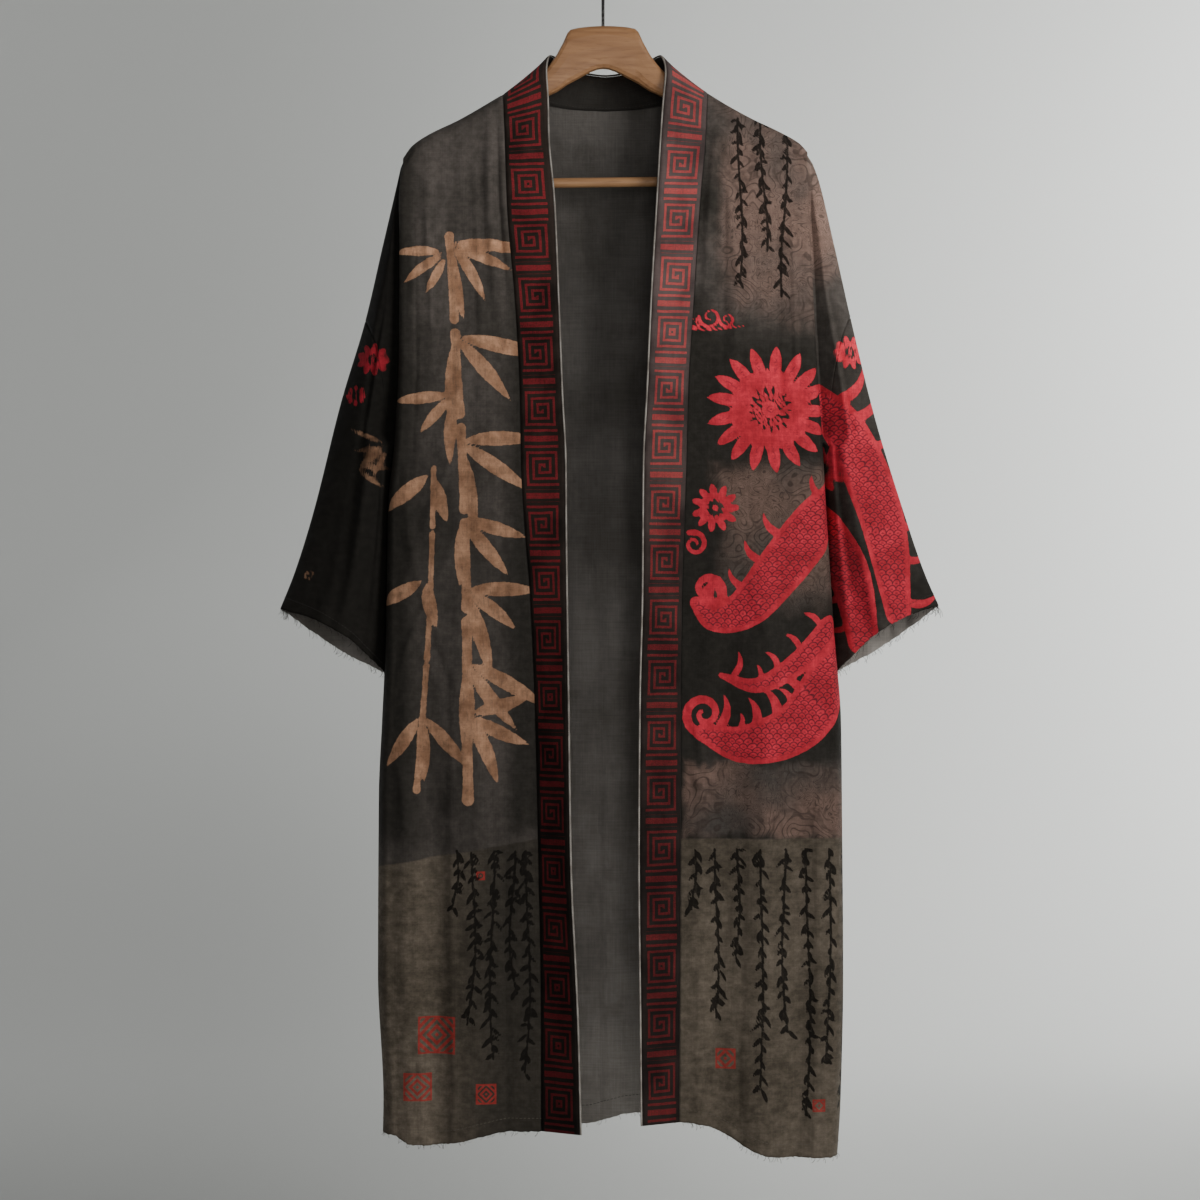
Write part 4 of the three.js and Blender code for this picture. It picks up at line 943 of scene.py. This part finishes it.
@finish_of(0.9)
def printed_cloth(paint, shader, brown=(), dark=(), taupe=None, seals=(), prints=(), scaled=True, deep=1.0,
                  even=0.0, painted_light_by_height=(1.0, 1.0), beside=None):
    """The robe's cloth with its grounds, engraved scrollwork and printed motifs, and painted light and shade:
    dark zones, a shaded strip towards the band and a tone that changes with height.
    """
    place = paint.flat_place()
    x, y, _ = apart(place)
    weave = paint.use(WEAVE, Place=place, Threads=CLOTH_THREADS, Slub=0.32)
    mottle = noise(place, 7.0, 5.0, 0.62)
    patches = noise(stretch(place, (1, 0.5, 1)), 24.0, 3.0, 0.6)
    age = step(mottle * 0.65 + patches * 0.35, 0.36, 0.62, even, 1.0)
    colour = blend(age * deep, CHARCOAL_DARK, CHARCOAL)
    # Painted shade: the dark zones darken the cloth where shade falls, beside the band's seam and along the
    # side and armhole edges.
    if dark:
        colour = blend(zone(x, y, dark) * 0.85, colour, CHARCOAL_DARK)
    if brown:
        scroll = paint.use(SCROLL, Place=place)
        edge = (patches - 0.5) * 0.05
        cover = zone(x + edge, y + edge, brown)
        ground = blend(step(scroll["Cloud"], 0.32, 0.62), CHARCOAL, BROWN)
        colour = blend(cover * 0.92, colour, blend(scroll["Line"] * 0.62, ground, BROWN_LINE))
    if taupe:
        bow, soft = taupe
        edge = FADE_LINE + (abs(x) - 0.07) * bow + (patches - 0.5) * soft
        lower = step(y, edge + 0.0012, edge - 0.0012)
        fibre = noise(stretch(place, (60, 85, 1)), 1.0, 4.0, 0.7)
        faded = blend(step(mottle * 0.5 + fibre * 0.5, 0.36, 0.64), TAUPE_DARK, TAUPE)
        if beside:
            # Painted shade: the faded strip darkens towards the band, where the cloth lies in the seam's
            # shade.
            band_shade = step(x + (patches - 0.5) * 0.03, *beside)
            faded = blend(band_shade * 0.85, faded, CHARCOAL_DARK)
        colour = blend(lower, colour, faded)
    for middle, half, pitch in seals:
        square = step(paint.use(LATTICE, Place=place, Middle=middle, Half=half, Pitch=pitch),
                      0.1, 0.9, -1.5, 1.5)
        colour = blend(paint.use(WORN_INK, Distance=square, Place=place, Rough=0.8, Dry=0.3) * 0.85,
                       colour, SEAL)
    cover = {ink: paint.use(WORN_INK, Distance=paint.attribute(ink), Place=place, Rough=rough, Dry=dry)
             for ink, (rough, dry) in WORN_EDGES.items() if ink in prints}
    if "tan" in cover:
        colour = blend(cover["tan"], colour, blend(patchy(place, 42.0, 3.0, 0.5, 0.35, 0.65), TAN_DARK, TAN))
    if "red" in cover:
        ripe = blend(patchy(place, 30.0, 3.0, 0.5, 0.35, 0.65), RED_DARK, RED)
        if scaled:
            inner = step(paint.attribute("red"), 3.5, 7.0)
            ripe = blend(paint.use(SCALES, Place=place, Size=8.5) * inner * 0.78, ripe, RED_MARK)
        colour = blend(cover["red"], colour, ripe)
    if "black" in cover:
        colour = blend(cover["black"] * 0.92, colour, INK)
    rubbed = step(noise(place, 130.0, 4.0, 0.7), 0.3, 0.75, 0.8, 1.22)
    # Painted light by height: the tone grows towards the top of the fronts and the left sleeve; on the right
    # sleeve it is cut down as painted shade.
    tone = weave["Tone"] * rubbed * step(y, PAINTED_LIGHT_LOW, PAINTED_LIGHT_TOP, *painted_light_by_height)
    woven(paint, shader, colour, tone, weave["Height"] * 0.5 + noise(place, 55.0, 3.0, 0.55) * 5.0, 0.0007)


@finish_of(0.88)
def band_cloth(paint, shader):
    """Doubled band: near-black ground, woven red fret, with painted light making it paler grey-red towards
    the upper left side and brighter at the top.
    """
    place = paint.flat_place()
    x, y, _ = apart(place)
    weave = paint.use(WEAVE, Place=place, Threads=BAND_THREADS, Slub=0.35)
    fret = paint.use(FRET, Across=x * 1000.0 - 22.0, Along=y * 1000.0, Cell=60.4, Width=36.0,
                     Pitch=6.4, Line=0.42, Place=place)
    worn = paint.use(WORN_INK, Distance=step(fret, 0.1, 0.9, -1.2, 1.2), Place=place, Rough=2.0, Dry=0.4)
    upper = paint.attribute("height")
    # Painted light: towards the left side and the top the band takes the pale, lit copies of its ground and
    # red; elsewhere it takes the dark, shaded copies.
    light = paint.attribute("left_share") * step(upper, -0.75, -0.35, 0.25, 1.0)
    mottle = patchy(place, 14.0, 4.0, 0.65, 0.34, 0.66)
    ground, red = (blend(light, blend(mottle, *dark), blend(mottle, *pale)) for dark, pale in (
        (((0.012, 0.009, 0.007), (0.032, 0.022, 0.018)), ((0.05, 0.036, 0.034), (0.11, 0.08, 0.075))),
        (((0.13, 0.012, 0.016), (0.25, 0.022, 0.028)), ((0.28, 0.035, 0.04), (0.50, 0.085, 0.08))),
    ))
    red = blend(patchy(place, 700.0, 1.0, 0.5, 0.42, 0.6) * 0.42, red, ground)
    # Painted light: the tone is brighter towards the top of the band.
    tone = weave["Tone"] * step(upper, -1.05, -0.2, 0.5, 1.25)
    height = weave["Height"] * 0.5 + worn * 0.8 + noise(place, 60.0, 3.0) * 4.0
    woven(paint, shader, blend(worn, ground, red), tone, height, 0.0006)


@finish_of(0.92)
def plain_cloth(paint, shader, light, dark, bump, painted_light_foot=1.0):
    """Unprinted cloth, mottled between two colours, with painted light making it paler towards its foot."""
    place = paint.flat_place()
    weave = paint.use(WEAVE, Place=place, Threads=CLOTH_THREADS, Slub=0.4)
    colour = blend(patchy(place, 9.0, 5.0, 0.65, 0.34, 0.66), dark, light)
    # Painted light: the tone grows towards the foot.
    tone = weave["Tone"] * step(apart(place)[1], -0.25, -1.0, 1.0, painted_light_foot)
    woven(paint, shader, colour, tone, weave["Height"] * 0.5 + noise(place, 40.0, 4.0, 0.6) * 8.0, bump)


@finish_of(0.42, shine=0.4)
def wood_finish(paint, shader, pale, dark):
    place = paint.solid_place()
    grain = noise(stretch(place, (9, 150, 130)), 1.0, 4.0, 0.6, 0.4)
    pores = noise(stretch(place, (60, 900, 900)), 1.0, 2.0, 0.6)
    rings = abs((noise(stretch(place, (4, 40, 34)), 1.0, 1.0) * 30.0).sine())
    colour = blend(step(grain, 0.3, 0.7) * 0.6 + rings * 0.4, dark, pale)
    colour = blend(step(pores, 0.58, 0.72) * 0.4, colour, tuple(0.45 * c for c in dark))
    paint.join(colour, shader["Base Color"])
    paint.join(step(pores, 0.3, 0.8, 0.38, 0.55), shader["Roughness"])
    relief(paint, shader, grain + pores, 0.0003, 0.5)


@finish_of(0.36, 1.0, 0.5)
def wire_finish(paint, shader):
    worn = patchy(paint.solid_place(), 240.0, 3.0, 0.5, 0.5, 0.75)
    paint.join(blend(worn, (0.035, 0.034, 0.033), (0.11, 0.105, 0.1)), shader["Base Color"])


@finish_of(0.85)
def edging_cloth(paint, shader):
    """Pale twisted cord, with painted shade darkening it where it runs behind the neck."""
    place = paint.flat_place()
    x, y, _ = apart(place)
    twist = abs((y * 1700.0 + x * 900.0).sine())
    colour = blend(patchy(place, 60.0, 3.0, 0.5, 0.3, 0.7), (0.2, 0.175, 0.155), (0.40, 0.37, 0.33))
    colour = blend(step(twist, 0.5, 0.1) * 0.5, colour, (0.08, 0.07, 0.06))
    # Painted shade behind the neck.
    behind = step(apart(paint.solid_place())[1], -0.004, 0.012)
    paint.join(blend(behind * 0.86, colour, (0.03, 0.026, 0.022)), shader["Base Color"])
    relief(paint, shader, twist, 0.0004, 0.7)


# The inside has painted light, three times paler at its foot.
INSIDE_FINISH = plain_cloth("cloth_inside", (0.118, 0.108, 0.099), (0.074, 0.067, 0.06), 0.001, 3.0)
BAND_INSIDE_FINISH = plain_cloth("band_inside", (0.036, 0.033, 0.029), (0.024, 0.021, 0.019), 0.0008)
SOLID_FINISH = {
    "hanger_body": wood_finish("beech", (0.38, 0.195, 0.088), (0.25, 0.118, 0.05)),
    "hanger_bar": wood_finish("bar_wood", (0.40, 0.215, 0.1), (0.28, 0.14, 0.062)),
    "hook": wire_finish("black_wire"),
}
# Seals are a middle, half a width in millimetres and the lattice's pitch.
# Both fronts are painted lighter towards the top, as painted light.
FRONT_FINISH = {
    "right": printed_cloth(
        "front_right_print", taupe=(-0.18, 0.004), prints=("tan", "black"), even=0.3, painted_light_by_height=(1.1, 1.75),
        # beside sets the painted shade on the faded strip, darkest towards the band.
        beside=(-0.195, -0.1),
        # Painted shade in the dark zones: along the side, beside the band's seam and at the armhole edge by
        # the shoulder.
        dark=((-0.3, -0.196, -0.94, -0.4, 0.02), (-0.098, -0.05, -0.93, -0.33, 0.012),
              (-0.3, -0.201, -0.42, 0.0, 0.006)),
        seals=(((-0.174, -1.142, 0), 20.0, 9.0), ((-0.194, -1.196, 0), 15.0, 7.5),
               ((-0.122, -1.202, 0), 11.0, 5.5), ((-0.128, -0.975, 0), 5.0, 5.0)),
    ),
    "left": printed_cloth(
        "front_left_print", taupe=(0.0, 0.0), prints=("red", "black"), painted_light_by_height=(1.0, 1.7),
        brown=((0.13, 0.32, -0.39, -0.12, 0.02), (0.125, 0.3, -0.69, -0.545, 0.016),
               (0.086, 0.32, -0.934, -0.856, 0.006)),
        # Painted shade in a dark zone beside the band's seam; the wider zone darkens the ground across the
        # middle of the front.
        dark=((0.07, 0.112, -0.93, -0.36, 0.014), (0.07, 0.3, -0.86, -0.4, 0.03)),
        seals=(((0.128, -1.166, 0), 11.0, 8.0), ((0.226, -1.216, 0), 7.0, 6.0)),
    ),
}
SLEEVE_FINISH = {
    # The right sleeve's tone by height is painted shade over the whole sleeve, darkest at the top; the left
    # sleeve's is painted light towards the top.
    "right": printed_cloth("sleeve_right_print", prints=("tan", "red"), scaled=False, deep=0.12,
                           painted_light_by_height=(0.62, 0.4)),
    "left": printed_cloth("sleeve_left_print", prints=("red",), brown=((0.21, 0.262, -0.34, -0.2, 0.02),),
                          deep=0.85, painted_light_by_height=(1.05, 2.3)),
}
BACK_FINISH = printed_cloth("back_cloth_ground", taupe=(0.0, 0.006), even=0.55)

# ---- creases, seams and threads


@finish_of(0.9, shine=0.5)
def thread(_, shader, colour):
    shader["Base Color"].default_value = (*colour, 1)


CREASE_LEAN = 0.25
CREASE_LENGTH, CREASE_WIDTH, CREASE_RISE = (60, 280), (4, 12), (0.5, 2.3)
RAW_ROWS = 6  # rows that follow a raw edge


def soft_creases(place, rng, count):
    """Ridges of uneven length, width and height, mostly along the hang of the cloth."""
    low, high = place.reshape(-1, 2).min(axis=0), place.reshape(-1, 2).max(axis=0)
    height = np.zeros(place.shape[:2])
    for _ in range(count):
        middle = low + (high - low) * rng.uniform(0.04, 0.96, 2)
        run = heading_of(np.pi / 2 + rng.normal(0, CREASE_LEAN))
        away = place - middle
        along_it = away @ run
        bow = rng.uniform(-1, 1) * 14 * (along_it / 120) ** 2
        across_it = away @ np.array((-run[1], run[0])) + bow
        fade = np.exp(-(along_it / (rng.uniform(*CREASE_LENGTH) / 2)) ** 2)
        height += rng.uniform(*CREASE_RISE) * fade * np.exp(-(across_it / rng.uniform(*CREASE_WIDTH)) ** 2)
    return height


def raw_edge(points, rng, depth):
    """Makes the last row of a surface uneven, with the rows above it following."""
    count = points.shape[1]
    rough = rng.normal(0, 1, count)
    slow = np.convolve(rng.normal(0, 1, count + 12), np.ones(13) / 13, "valid")
    drop = depth * (0.35 * rough + 1.3 * slow)
    for k in range(RAW_ROWS):
        points[-1 - k, :, 2] += drop * (1 - k / RAW_ROWS)


def row_tree(name, hanging):
    """Sets a small shape again and again along a line: a hanging thread or a stitch."""
    tree = bpy.data.node_groups.new(name, "GeometryNodeTree")
    face, paint = tree.interface, Paint(tree)
    face.new_socket("Geometry", in_out="INPUT", socket_type="NodeSocketGeometry")
    for key, start in (("Spacing", 0.003), ("Length", 0.006), ("Thickness", 0.0002), ("Spread", 0.6),
                       ("Share", 0.5)):
        face.new_socket(key, in_out="INPUT", socket_type="NodeSocketFloat").default_value = start
    face.new_socket("Seed", in_out="INPUT", socket_type="NodeSocketInt")
    face.new_socket("Material", in_out="INPUT", socket_type="NodeSocketMaterial")
    face.new_socket("Geometry", in_out="OUTPUT", socket_type="NodeSocketGeometry")
    given = {out.name: Value(paint, out) for out in tree.nodes.new("NodeGroupInput").outputs if out.name}
    length, spread = given["Length"], given["Spread"]

    def draw(kind, out, values):
        return paint.add("FunctionNodeRandomValue", {**values, "Seed": given["Seed"]}, out, data_type=kind)

    line = paint.add("GeometryNodeMeshToCurve", {"Mesh": given["Geometry"]})
    line = paint.add("GeometryNodeResampleCurve", {"Curve": line, "Length": given["Spacing"]}, mode="LENGTH")
    ring = paint.add("GeometryNodeCurvePrimitiveCircle", {"Resolution": 5, "Radius": given["Thickness"]})
    half = length * 0.5
    rows = {"Points": line}
    if hanging:
        side = length * 0.28
        spine = paint.add("GeometryNodeCurveQuadraticBezier", {
            "Resolution": 5, "Start": (0, 0, 0), "Middle": together(paint, side, 0.0, half * -1.0),
            "End": together(paint, 0.0, side, length * -1.0)})
        less = spread * -1.0
        lean = (together(paint, less, less, less), together(paint, spread, spread, spread))
        rows["Rotation"] = draw("FLOAT_VECTOR", 0, {0: lean[0], 1: lean[1]})
        rows["Scale"] = draw("FLOAT", 1, {2: 0.45, 3: 1.25})
    else:
        spine = paint.add("GeometryNodeCurvePrimitiveLine", {
            "Start": together(paint, 0.0, 0.0, half * -1.0), "End": together(paint, 0.0, 0.0, half)})
        run = paint.add("GeometryNodeInputTangent")
        rows["Rotation"] = paint.add("FunctionNodeAlignRotationToVector", {"Vector": run}, axis="Z")
    shape = {"Curve": spine, "Profile Curve": ring, "Fill Caps": True}
    rows["Instance"] = paint.add("GeometryNodeCurveToMesh", shape)
    rows["Selection"] = draw("BOOLEAN", 3, {"Probability": given["Share"]})
    made = paint.add("GeometryNodeInstanceOnPoints", rows)
    made = paint.add("GeometryNodeRealizeInstances", {0: made})
    made = paint.add("GeometryNodeSetMaterial", {0: made, "Material": given["Material"]})
    paint.join(made, tree.nodes.new("NodeGroupOutput").inputs[0])
    return tree


THREADS, STITCHES = row_tree("hanging_threads", True), row_tree("stitch_row", False)
THREAD_FINISH = thread("thread_dark", (0.03, 0.026, 0.023))
PALE_THREAD_FINISH = thread("thread_taupe", (0.09, 0.075, 0.058))


def set_along(name, tree, line, finish, **values):
    """Runs one of the row trees on a line and keeps the result as a mesh."""
    mesh = bpy.data.meshes.new(name + "_line")
    mesh.from_pydata((np.asarray(line) * MM).tolist(), [(k, k + 1) for k in range(len(line) - 1)], [])
    start = into_scene(name + "_line", mesh)
    rows = start.modifiers.new("rows", "NODES")
    rows.node_group = tree
    values["Material"] = finish
    for socket in tree.interface.items_tree:
        if socket.in_out == "INPUT" and socket.name in values:
            rows[socket.identifier] = values[socket.name]
    made = bpy.data.meshes.new_from_object(start.evaluated_get(bpy.context.evaluated_depsgraph_get()))
    made.name = name
    bpy.data.objects.remove(start)
    if not made.materials:
        made.materials.append(finish)
    piece = into_scene(name, made)
    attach(piece, "root")
    return piece


def fray(name, line, seed, length, share, finish):
    return set_along(name, THREADS, line, finish, Spacing=1.1 * MM, Length=length * MM, Thickness=0.16 * MM,
                     Spread=0.75, Share=share, Seed=seed)


def stitch(name, line, finish, spacing=4.2, length=2.6):
    return set_along(name, STITCHES, line, finish, Spacing=spacing * MM, Length=length * MM,
                     Thickness=0.26 * MM, Share=1.0, Seed=0)


def on_face(points, thickness, pick, closed=False, face=-1):
    """A line of a surface, laid on its front face (-1) or its back face (1)."""
    line, lift = points[pick], normals_of(points, closed)[pick]
    if lift[len(line) // 4, 1] * face < 0:
        lift = -lift
    return line + lift * (thickness / 2 + THREAD_LIFT)


# ---- the robe's pieces

FRONT_ROWS, FRONT_COLUMNS = 400, 112
BACK_ROWS, BACK_COLUMNS = 230, 70
SLEEVE_AROUND = 160
BACK_SHIFT = 1000  # the back's place on the flat cloth is apart from the fronts'
TOP_RINGS, SLEEVE_RINGS = 60, 90
BAND_COLUMNS = 13


def crease_rise(side, points, place, rng, count):
    return soft_creases(place, rng, count) * ease((SHOULDER[side]["height"][0] - points[..., 2]) / 90)


def make_front(side):
    points = front_surface(side, FRONT_ROWS, FRONT_COLUMNS)
    flat = int(FRONT_COLUMNS * FRONT_FLAT)
    uv = points[..., (0, 2)]
    rolled = arc_of(points[:, flat:, :2])[:, 1:]
    uv[:, flat + 1:, 0] = uv[:, flat:flat + 1, 0] + SIGN[side] * rolled
    rng = np.random.default_rng({"right": 31, "left": 32}[side])
    column = np.arange(FRONT_COLUMNS + 0.0)
    ends = np.clip(np.minimum(column, flat - column) / 8, 0, 1)
    points[..., 1] -= crease_rise(side, points, uv, rng, 70) * ends
    raw_edge(points, rng, 0.7)
    piece = wall_piece(f"front_{side}_cloth", points, CLOTH, uv, (FRONT_FINISH[side], INSIDE_FINISH),
                       values=FRONT_PRINT[side](uv))
    return piece, points


def make_back():
    points = back_surface(BACK_ROWS, BACK_COLUMNS)
    rng = np.random.default_rng(33)
    rise = crease_rise("right", points, points[..., (0, 2)], rng, 90)
    reach = np.minimum(points[..., 0] - points[..., 0].min(), points[..., 0].max() - points[..., 0])
    points[..., 1] += rise * np.clip((reach - 40) / 30, 0, 1)
    raw_edge(points, rng, 0.7)
    arc = arc_of(points[..., :2])
    middle = points.shape[1] // 2
    across = points[:, middle:middle + 1, 0] + arc - arc[:, middle:middle + 1]
    uv = stacked(across + BACK_SHIFT, points[..., 2])
    return wall_piece("back_cloth", points, CLOTH, uv, (BACK_FINISH, INSIDE_FINISH), outward=1), points


def make_sleeve(side, name, start, stop, rings):
    """Part of a sleeve. It lies flat for its print, so that its back has the same print as its front."""
    points = sleeve_surface(side, start, stop, rings, SLEEVE_AROUND)
    if stop == 1:
        raw_edge(points, np.random.default_rng({"right": 34, "left": 35}[side]), 0.9)
    uv = np.concatenate((points, points[:, :1]), axis=1)[..., (0, 2)]
    piece = wall_piece(name, points, CLOTH, uv, (SLEEVE_FINISH[side], INSIDE_FINISH), closed=True,
                       values=SLEEVE_PRINT[side](uv[:, :-1]))
    return piece, points


def band_stations(fronts, back):
    """Seam, the cloth beside it and edge of the band at each station, from the right hem round the neck."""
    runs = []
    for side in SIDES:
        points = fronts[side][::-1] if side == "right" else fronts[side]
        seam, line = points[:, 0], BAND_LINE[side]
        depth = SHOULDER[side]["height"][0] - seam[:, 2]
        rise = along(FRONT_NECK, "depth", "rise", depth)
        height = seam[:, 2] + rise
        turn = np.where(rise > 0, along(FRONT_NECK, "depth", "turn", depth),
                        along(line, "height", "turn", height))
        across = SIGN[side] * along(line, "height", "edge", height)
        runs.append((seam, points[:, 1], stacked(across, seam[:, 1] - turn, height)))
    half = {side: SHOULDER[side]["across"][0] for side in SIDES}
    inside = (back[0][:, 0] > -half["right"]) & (back[0][:, 0] < half["left"])
    seam, beside = back[0][inside], back[3][inside]
    offset = seam[:, 0] - NECK_CENTRE
    share = np.where(offset > 0, offset / (half["left"] - NECK_CENTRE),
                     -offset / (half["right"] + NECK_CENTRE))
    across, out, height = (along(BACK_NECK, "share", key, share) for key in ("across", "out", "height"))
    edge = stacked(NECK_CENTRE + np.sign(offset) * across, out, height)
    return (np.concatenate(lines) for lines in zip(runs[0], (seam, beside, edge), runs[1]))


def smooth_run(points, passes):
    points = points.copy()
    for _ in range(passes):
        points[1:-1] = points[1:-1] / 2 + (points[:-2] + points[2:]) / 4
    return points


def make_band(fronts, back):
    seam, beside, edge = band_stations(fronts, back)
    across = smooth_run(edge, 12) - seam
    width = length_of(across)
    across = unit(across)
    straight = np.sum(across * unit(seam - beside), axis=-1, keepdims=True)
    gap = SEAM_GAP + BAND / 2 * np.sqrt(np.maximum(1 - straight ** 2, 0))
    share = np.linspace(0, 1, BAND_COLUMNS)
    points = (seam + across * gap)[:, None] + across[:, None] * (width - gap)[:, None] * share[None, :, None]
    uv = np.stack(np.meshgrid(share * BAND_WIDTH, arc_of(points[:, 6])), axis=-1)
    left_share = np.clip((points[..., 0] + 20) / 60, 0, 1)
    piece = wall_piece("collar_band_cloth", points, BAND, uv, (BAND_FINISH, BAND_INSIDE_FINISH), outward=1,
                       values={"left_share": left_share, "height": points[..., 2] * MM})
    return piece, points


def tube(name, centres, across, radius, sides, finish):
    """A round cord on a line of points, closed at both ends."""
    run = unit(np.gradient(centres, axis=0))
    across = unit(across - run * np.sum(across * run, axis=-1, keepdims=True))
    angle = np.linspace(0, 2 * np.pi, sides, endpoint=False)[None, :, None]
    third = np.cross(run, across)
    rings = centres[:, None] + radius * (across[:, None] * np.cos(angle) + third[:, None] * np.sin(angle))
    grid = np.arange(len(centres) * sides).reshape(-1, sides)
    around = np.concatenate((grid, grid[:, :1]), axis=1)
    faces = quads_of(around)[:, ::-1].tolist() + [grid[0, ::-1].tolist(), grid[-1].tolist()]
    mesh = smooth_mesh(name, rings.reshape(-1, 3) * MM, faces, finish)
    index = np.empty(len(mesh.loops), dtype=np.int32)
    mesh.loops.foreach_get("vertex_index", index)
    lay_flat(mesh, stacked(index % sides * 0.8, arc_of(centres)[index // sides]))
    fix = bmesh.new()
    fix.from_mesh(mesh)
    bmesh.ops.recalc_face_normals(fix, faces=fix.faces[:])
    fix.to_mesh(mesh)
    fix.free()
    return into_scene(name, mesh)


def make_edging(band):
    across = unit(band[:, -1] - band[:, -2])
    centres = smooth_run(band[:, -1] + across * (EDGING / 2 + SEAM_GAP), 3)
    return tube("band_edging_cord", centres, across, EDGING / 2, 8, edging_cloth("edging_cord"))


BAND_FINISH = band_cloth("band_fret")
pieces, surfaces, sleeves = {}, {}, {}
for side in SIDES:
    pieces[f"front_{side}"], surfaces[side] = make_front(side)
pieces["back"], back_points = make_back()
for side in SIDES:
    pieces[f"sleeve_top_{side}"], _ = make_sleeve(side, f"sleeve_top_{side}_cloth", 0, SLEEVE_SEAM, TOP_RINGS)
    pieces[f"sleeve_{side}"], sleeves[side] = make_sleeve(
        side, f"sleeve_{side}_cloth", SLEEVE_SEAM + 0.002, 1, SLEEVE_RINGS)
pieces["collar_band"], band_points = make_band(surfaces, back_points)
pieces["band_edging"] = make_edging(band_points)

for node, piece in pieces.items():
    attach(piece, "root")
    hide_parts(node)

for node, finish in SOLID_FINISH.items():
    solid = bpy.data.objects[node]
    if not solid.material_slots:
        solid.data.materials.append(finish)
    for slot in solid.material_slots:
        slot.material = finish

# ---- sewing and frayed edges

trim = {node: [] for node in pieces}
FRONT_HEM_ROW, BACK_HEM_ROW, CUFF_RING = -6, -5, -5
HEM_FRAY, CUFF_FRAY, CORNER_FRAY = (5.0, 0.3), (6.5, 0.42), (10.0, 0.5)  # length and share of the places
seed = 40
for side in SIDES:
    front, sleeve = surfaces[side], sleeves[side]
    trim[f"front_{side}"] += [
        fray(f"front_{side}_hem_threads", front[-1], seed, *HEM_FRAY, PALE_THREAD_FINISH),
        stitch(f"front_{side}_hem_stitches", on_face(front, CLOTH, np.s_[FRONT_HEM_ROW]), PALE_THREAD_FINISH),
    ]
    ring = np.concatenate((sleeve[-1], sleeve[-1, :1]))
    loop = on_face(sleeve, CLOTH, np.s_[CUFF_RING], closed=True)
    tuft = np.concatenate((sleeve[-1, :12], sleeve[-1, -12:]))
    trim[f"sleeve_{side}"] += [
        fray(f"sleeve_{side}_cuff_threads", ring, seed + 1, *CUFF_FRAY, THREAD_FINISH),
        stitch(f"sleeve_{side}_cuff_stitches", np.concatenate((loop, loop[:1])), THREAD_FINISH),
        fray(f"sleeve_{side}_corner_threads", tuft, seed + 2, *CORNER_FRAY, THREAD_FINISH),
    ]
    seed += 3
trim["back"] += [
    fray("back_hem_threads", back_points[-1], seed, *HEM_FRAY, PALE_THREAD_FINISH),
    stitch("back_hem_stitches", on_face(back_points, CLOTH, np.s_[BACK_HEM_ROW]), THREAD_FINISH),
]
into_band = band_points[:, 1] - band_points[:, 0]
band_seam = tube("band_seam_thread", smooth_run(band_points[:, 0] - into_band * 0.12, 2), into_band, 0.62, 6,
                 THREAD_FINISH)
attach(band_seam, "root")
band_stitches = stitch("band_stitches", on_face(band_points, BAND, np.s_[:, 1], face=1),
                       THREAD_FINISH, 3.6, 2.2)
trim["collar_band"] += [band_seam, band_stitches]

# ---- studio


@finish_of(0.95)
def wall_with_painted_shade(paint, shader):
    """Matt grey paint, with painted shade making it darker towards the left and in the corner by the floor.
    """
    x, y, z = apart(paint.solid_place())
    across = x / (either(y, -1.0) + 3.0)
    # Painted shade: darker in the corner by the floor and towards the left.
    low = step(z, -0.6, FLOOR) * step(across, 0.18, -0.16, 0.0, 0.36)
    share = step(across, -0.16, 0.16, 0.77, 1.12) * (1.0 - low)
    paint.join(blend(share, (0, 0, 0), (0.6, 0.61, 0.59)), shader["Base Color"])


def add_stage():
    reach, bend, steps = 9.0, 1.9, 16
    angles = [math.pi / 2 * k / steps for k in range(steps + 1)]
    curve = [(WALL - bend + bend * math.sin(angle), FLOOR + bend - bend * math.cos(angle))
             for angle in angles]
    profile = [(-reach, FLOOR), *curve, (WALL, 4.0)]
    faces = [(2 * k, 2 * k + 1, 2 * k + 3, 2 * k + 2) for k in range(len(profile) - 1)]
    corners = [(x, y, z) for y, z in profile for x in (-reach, reach)]
    into_scene("studio", smooth_mesh("studio", corners, faces, wall_with_painted_shade("studio_paint")))


def add_light(name, place, aim, size, power, colour=(1, 1, 1)):
    data = bpy.data.lights.new(name, "AREA")
    data.shape = "RECTANGLE"
    data.size, data.size_y = size
    data.energy, data.color = power, colour
    lamp = into_scene(name, data)
    lamp.location = place
    lamp.rotation_euler = (Vector(aim) - Vector(place)).to_track_quat("-Z", "Y").to_euler()


def add_lights():
    middle = (0, 0, -0.7)
    add_light("window", (2.3, -2.4, 0.3), middle, (1.4, 1.8), 76, (1.0, 0.99, 0.97))
    add_light("opening", (0.25, -3.4, -0.35), (0.0, 0.0, -0.75), (1.1, 1.6), 22, (1.0, 0.99, 0.98))
    add_light("fill", (-2.6, -2.6, -0.2), middle, (2.4, 2.4), 4, (0.95, 0.98, 1.0))
    add_light("behind", (-2.3, 2.4, 0.5), (0, 0.1, -0.6), (1.4, 1.8), 30)
    add_light("wall_right", (3.4, 2.7, 0.3), (2.0, 4.2, -0.6), (1.6, 2.0), 230)
    add_light("wall_left", (-3.4, 2.6, 1.8), (-1.4, 4.2, 0.2), (1.4, 1.2), 24)
    world = bpy.data.worlds.new("studio_air")
    world.use_nodes = True
    air = world.node_tree.nodes["Background"].inputs
    air["Color"].default_value, air["Strength"].default_value = (0.9, 0.92, 0.93, 1), 0.2
    bpy.context.scene.world = world


add_stage()
add_lights()
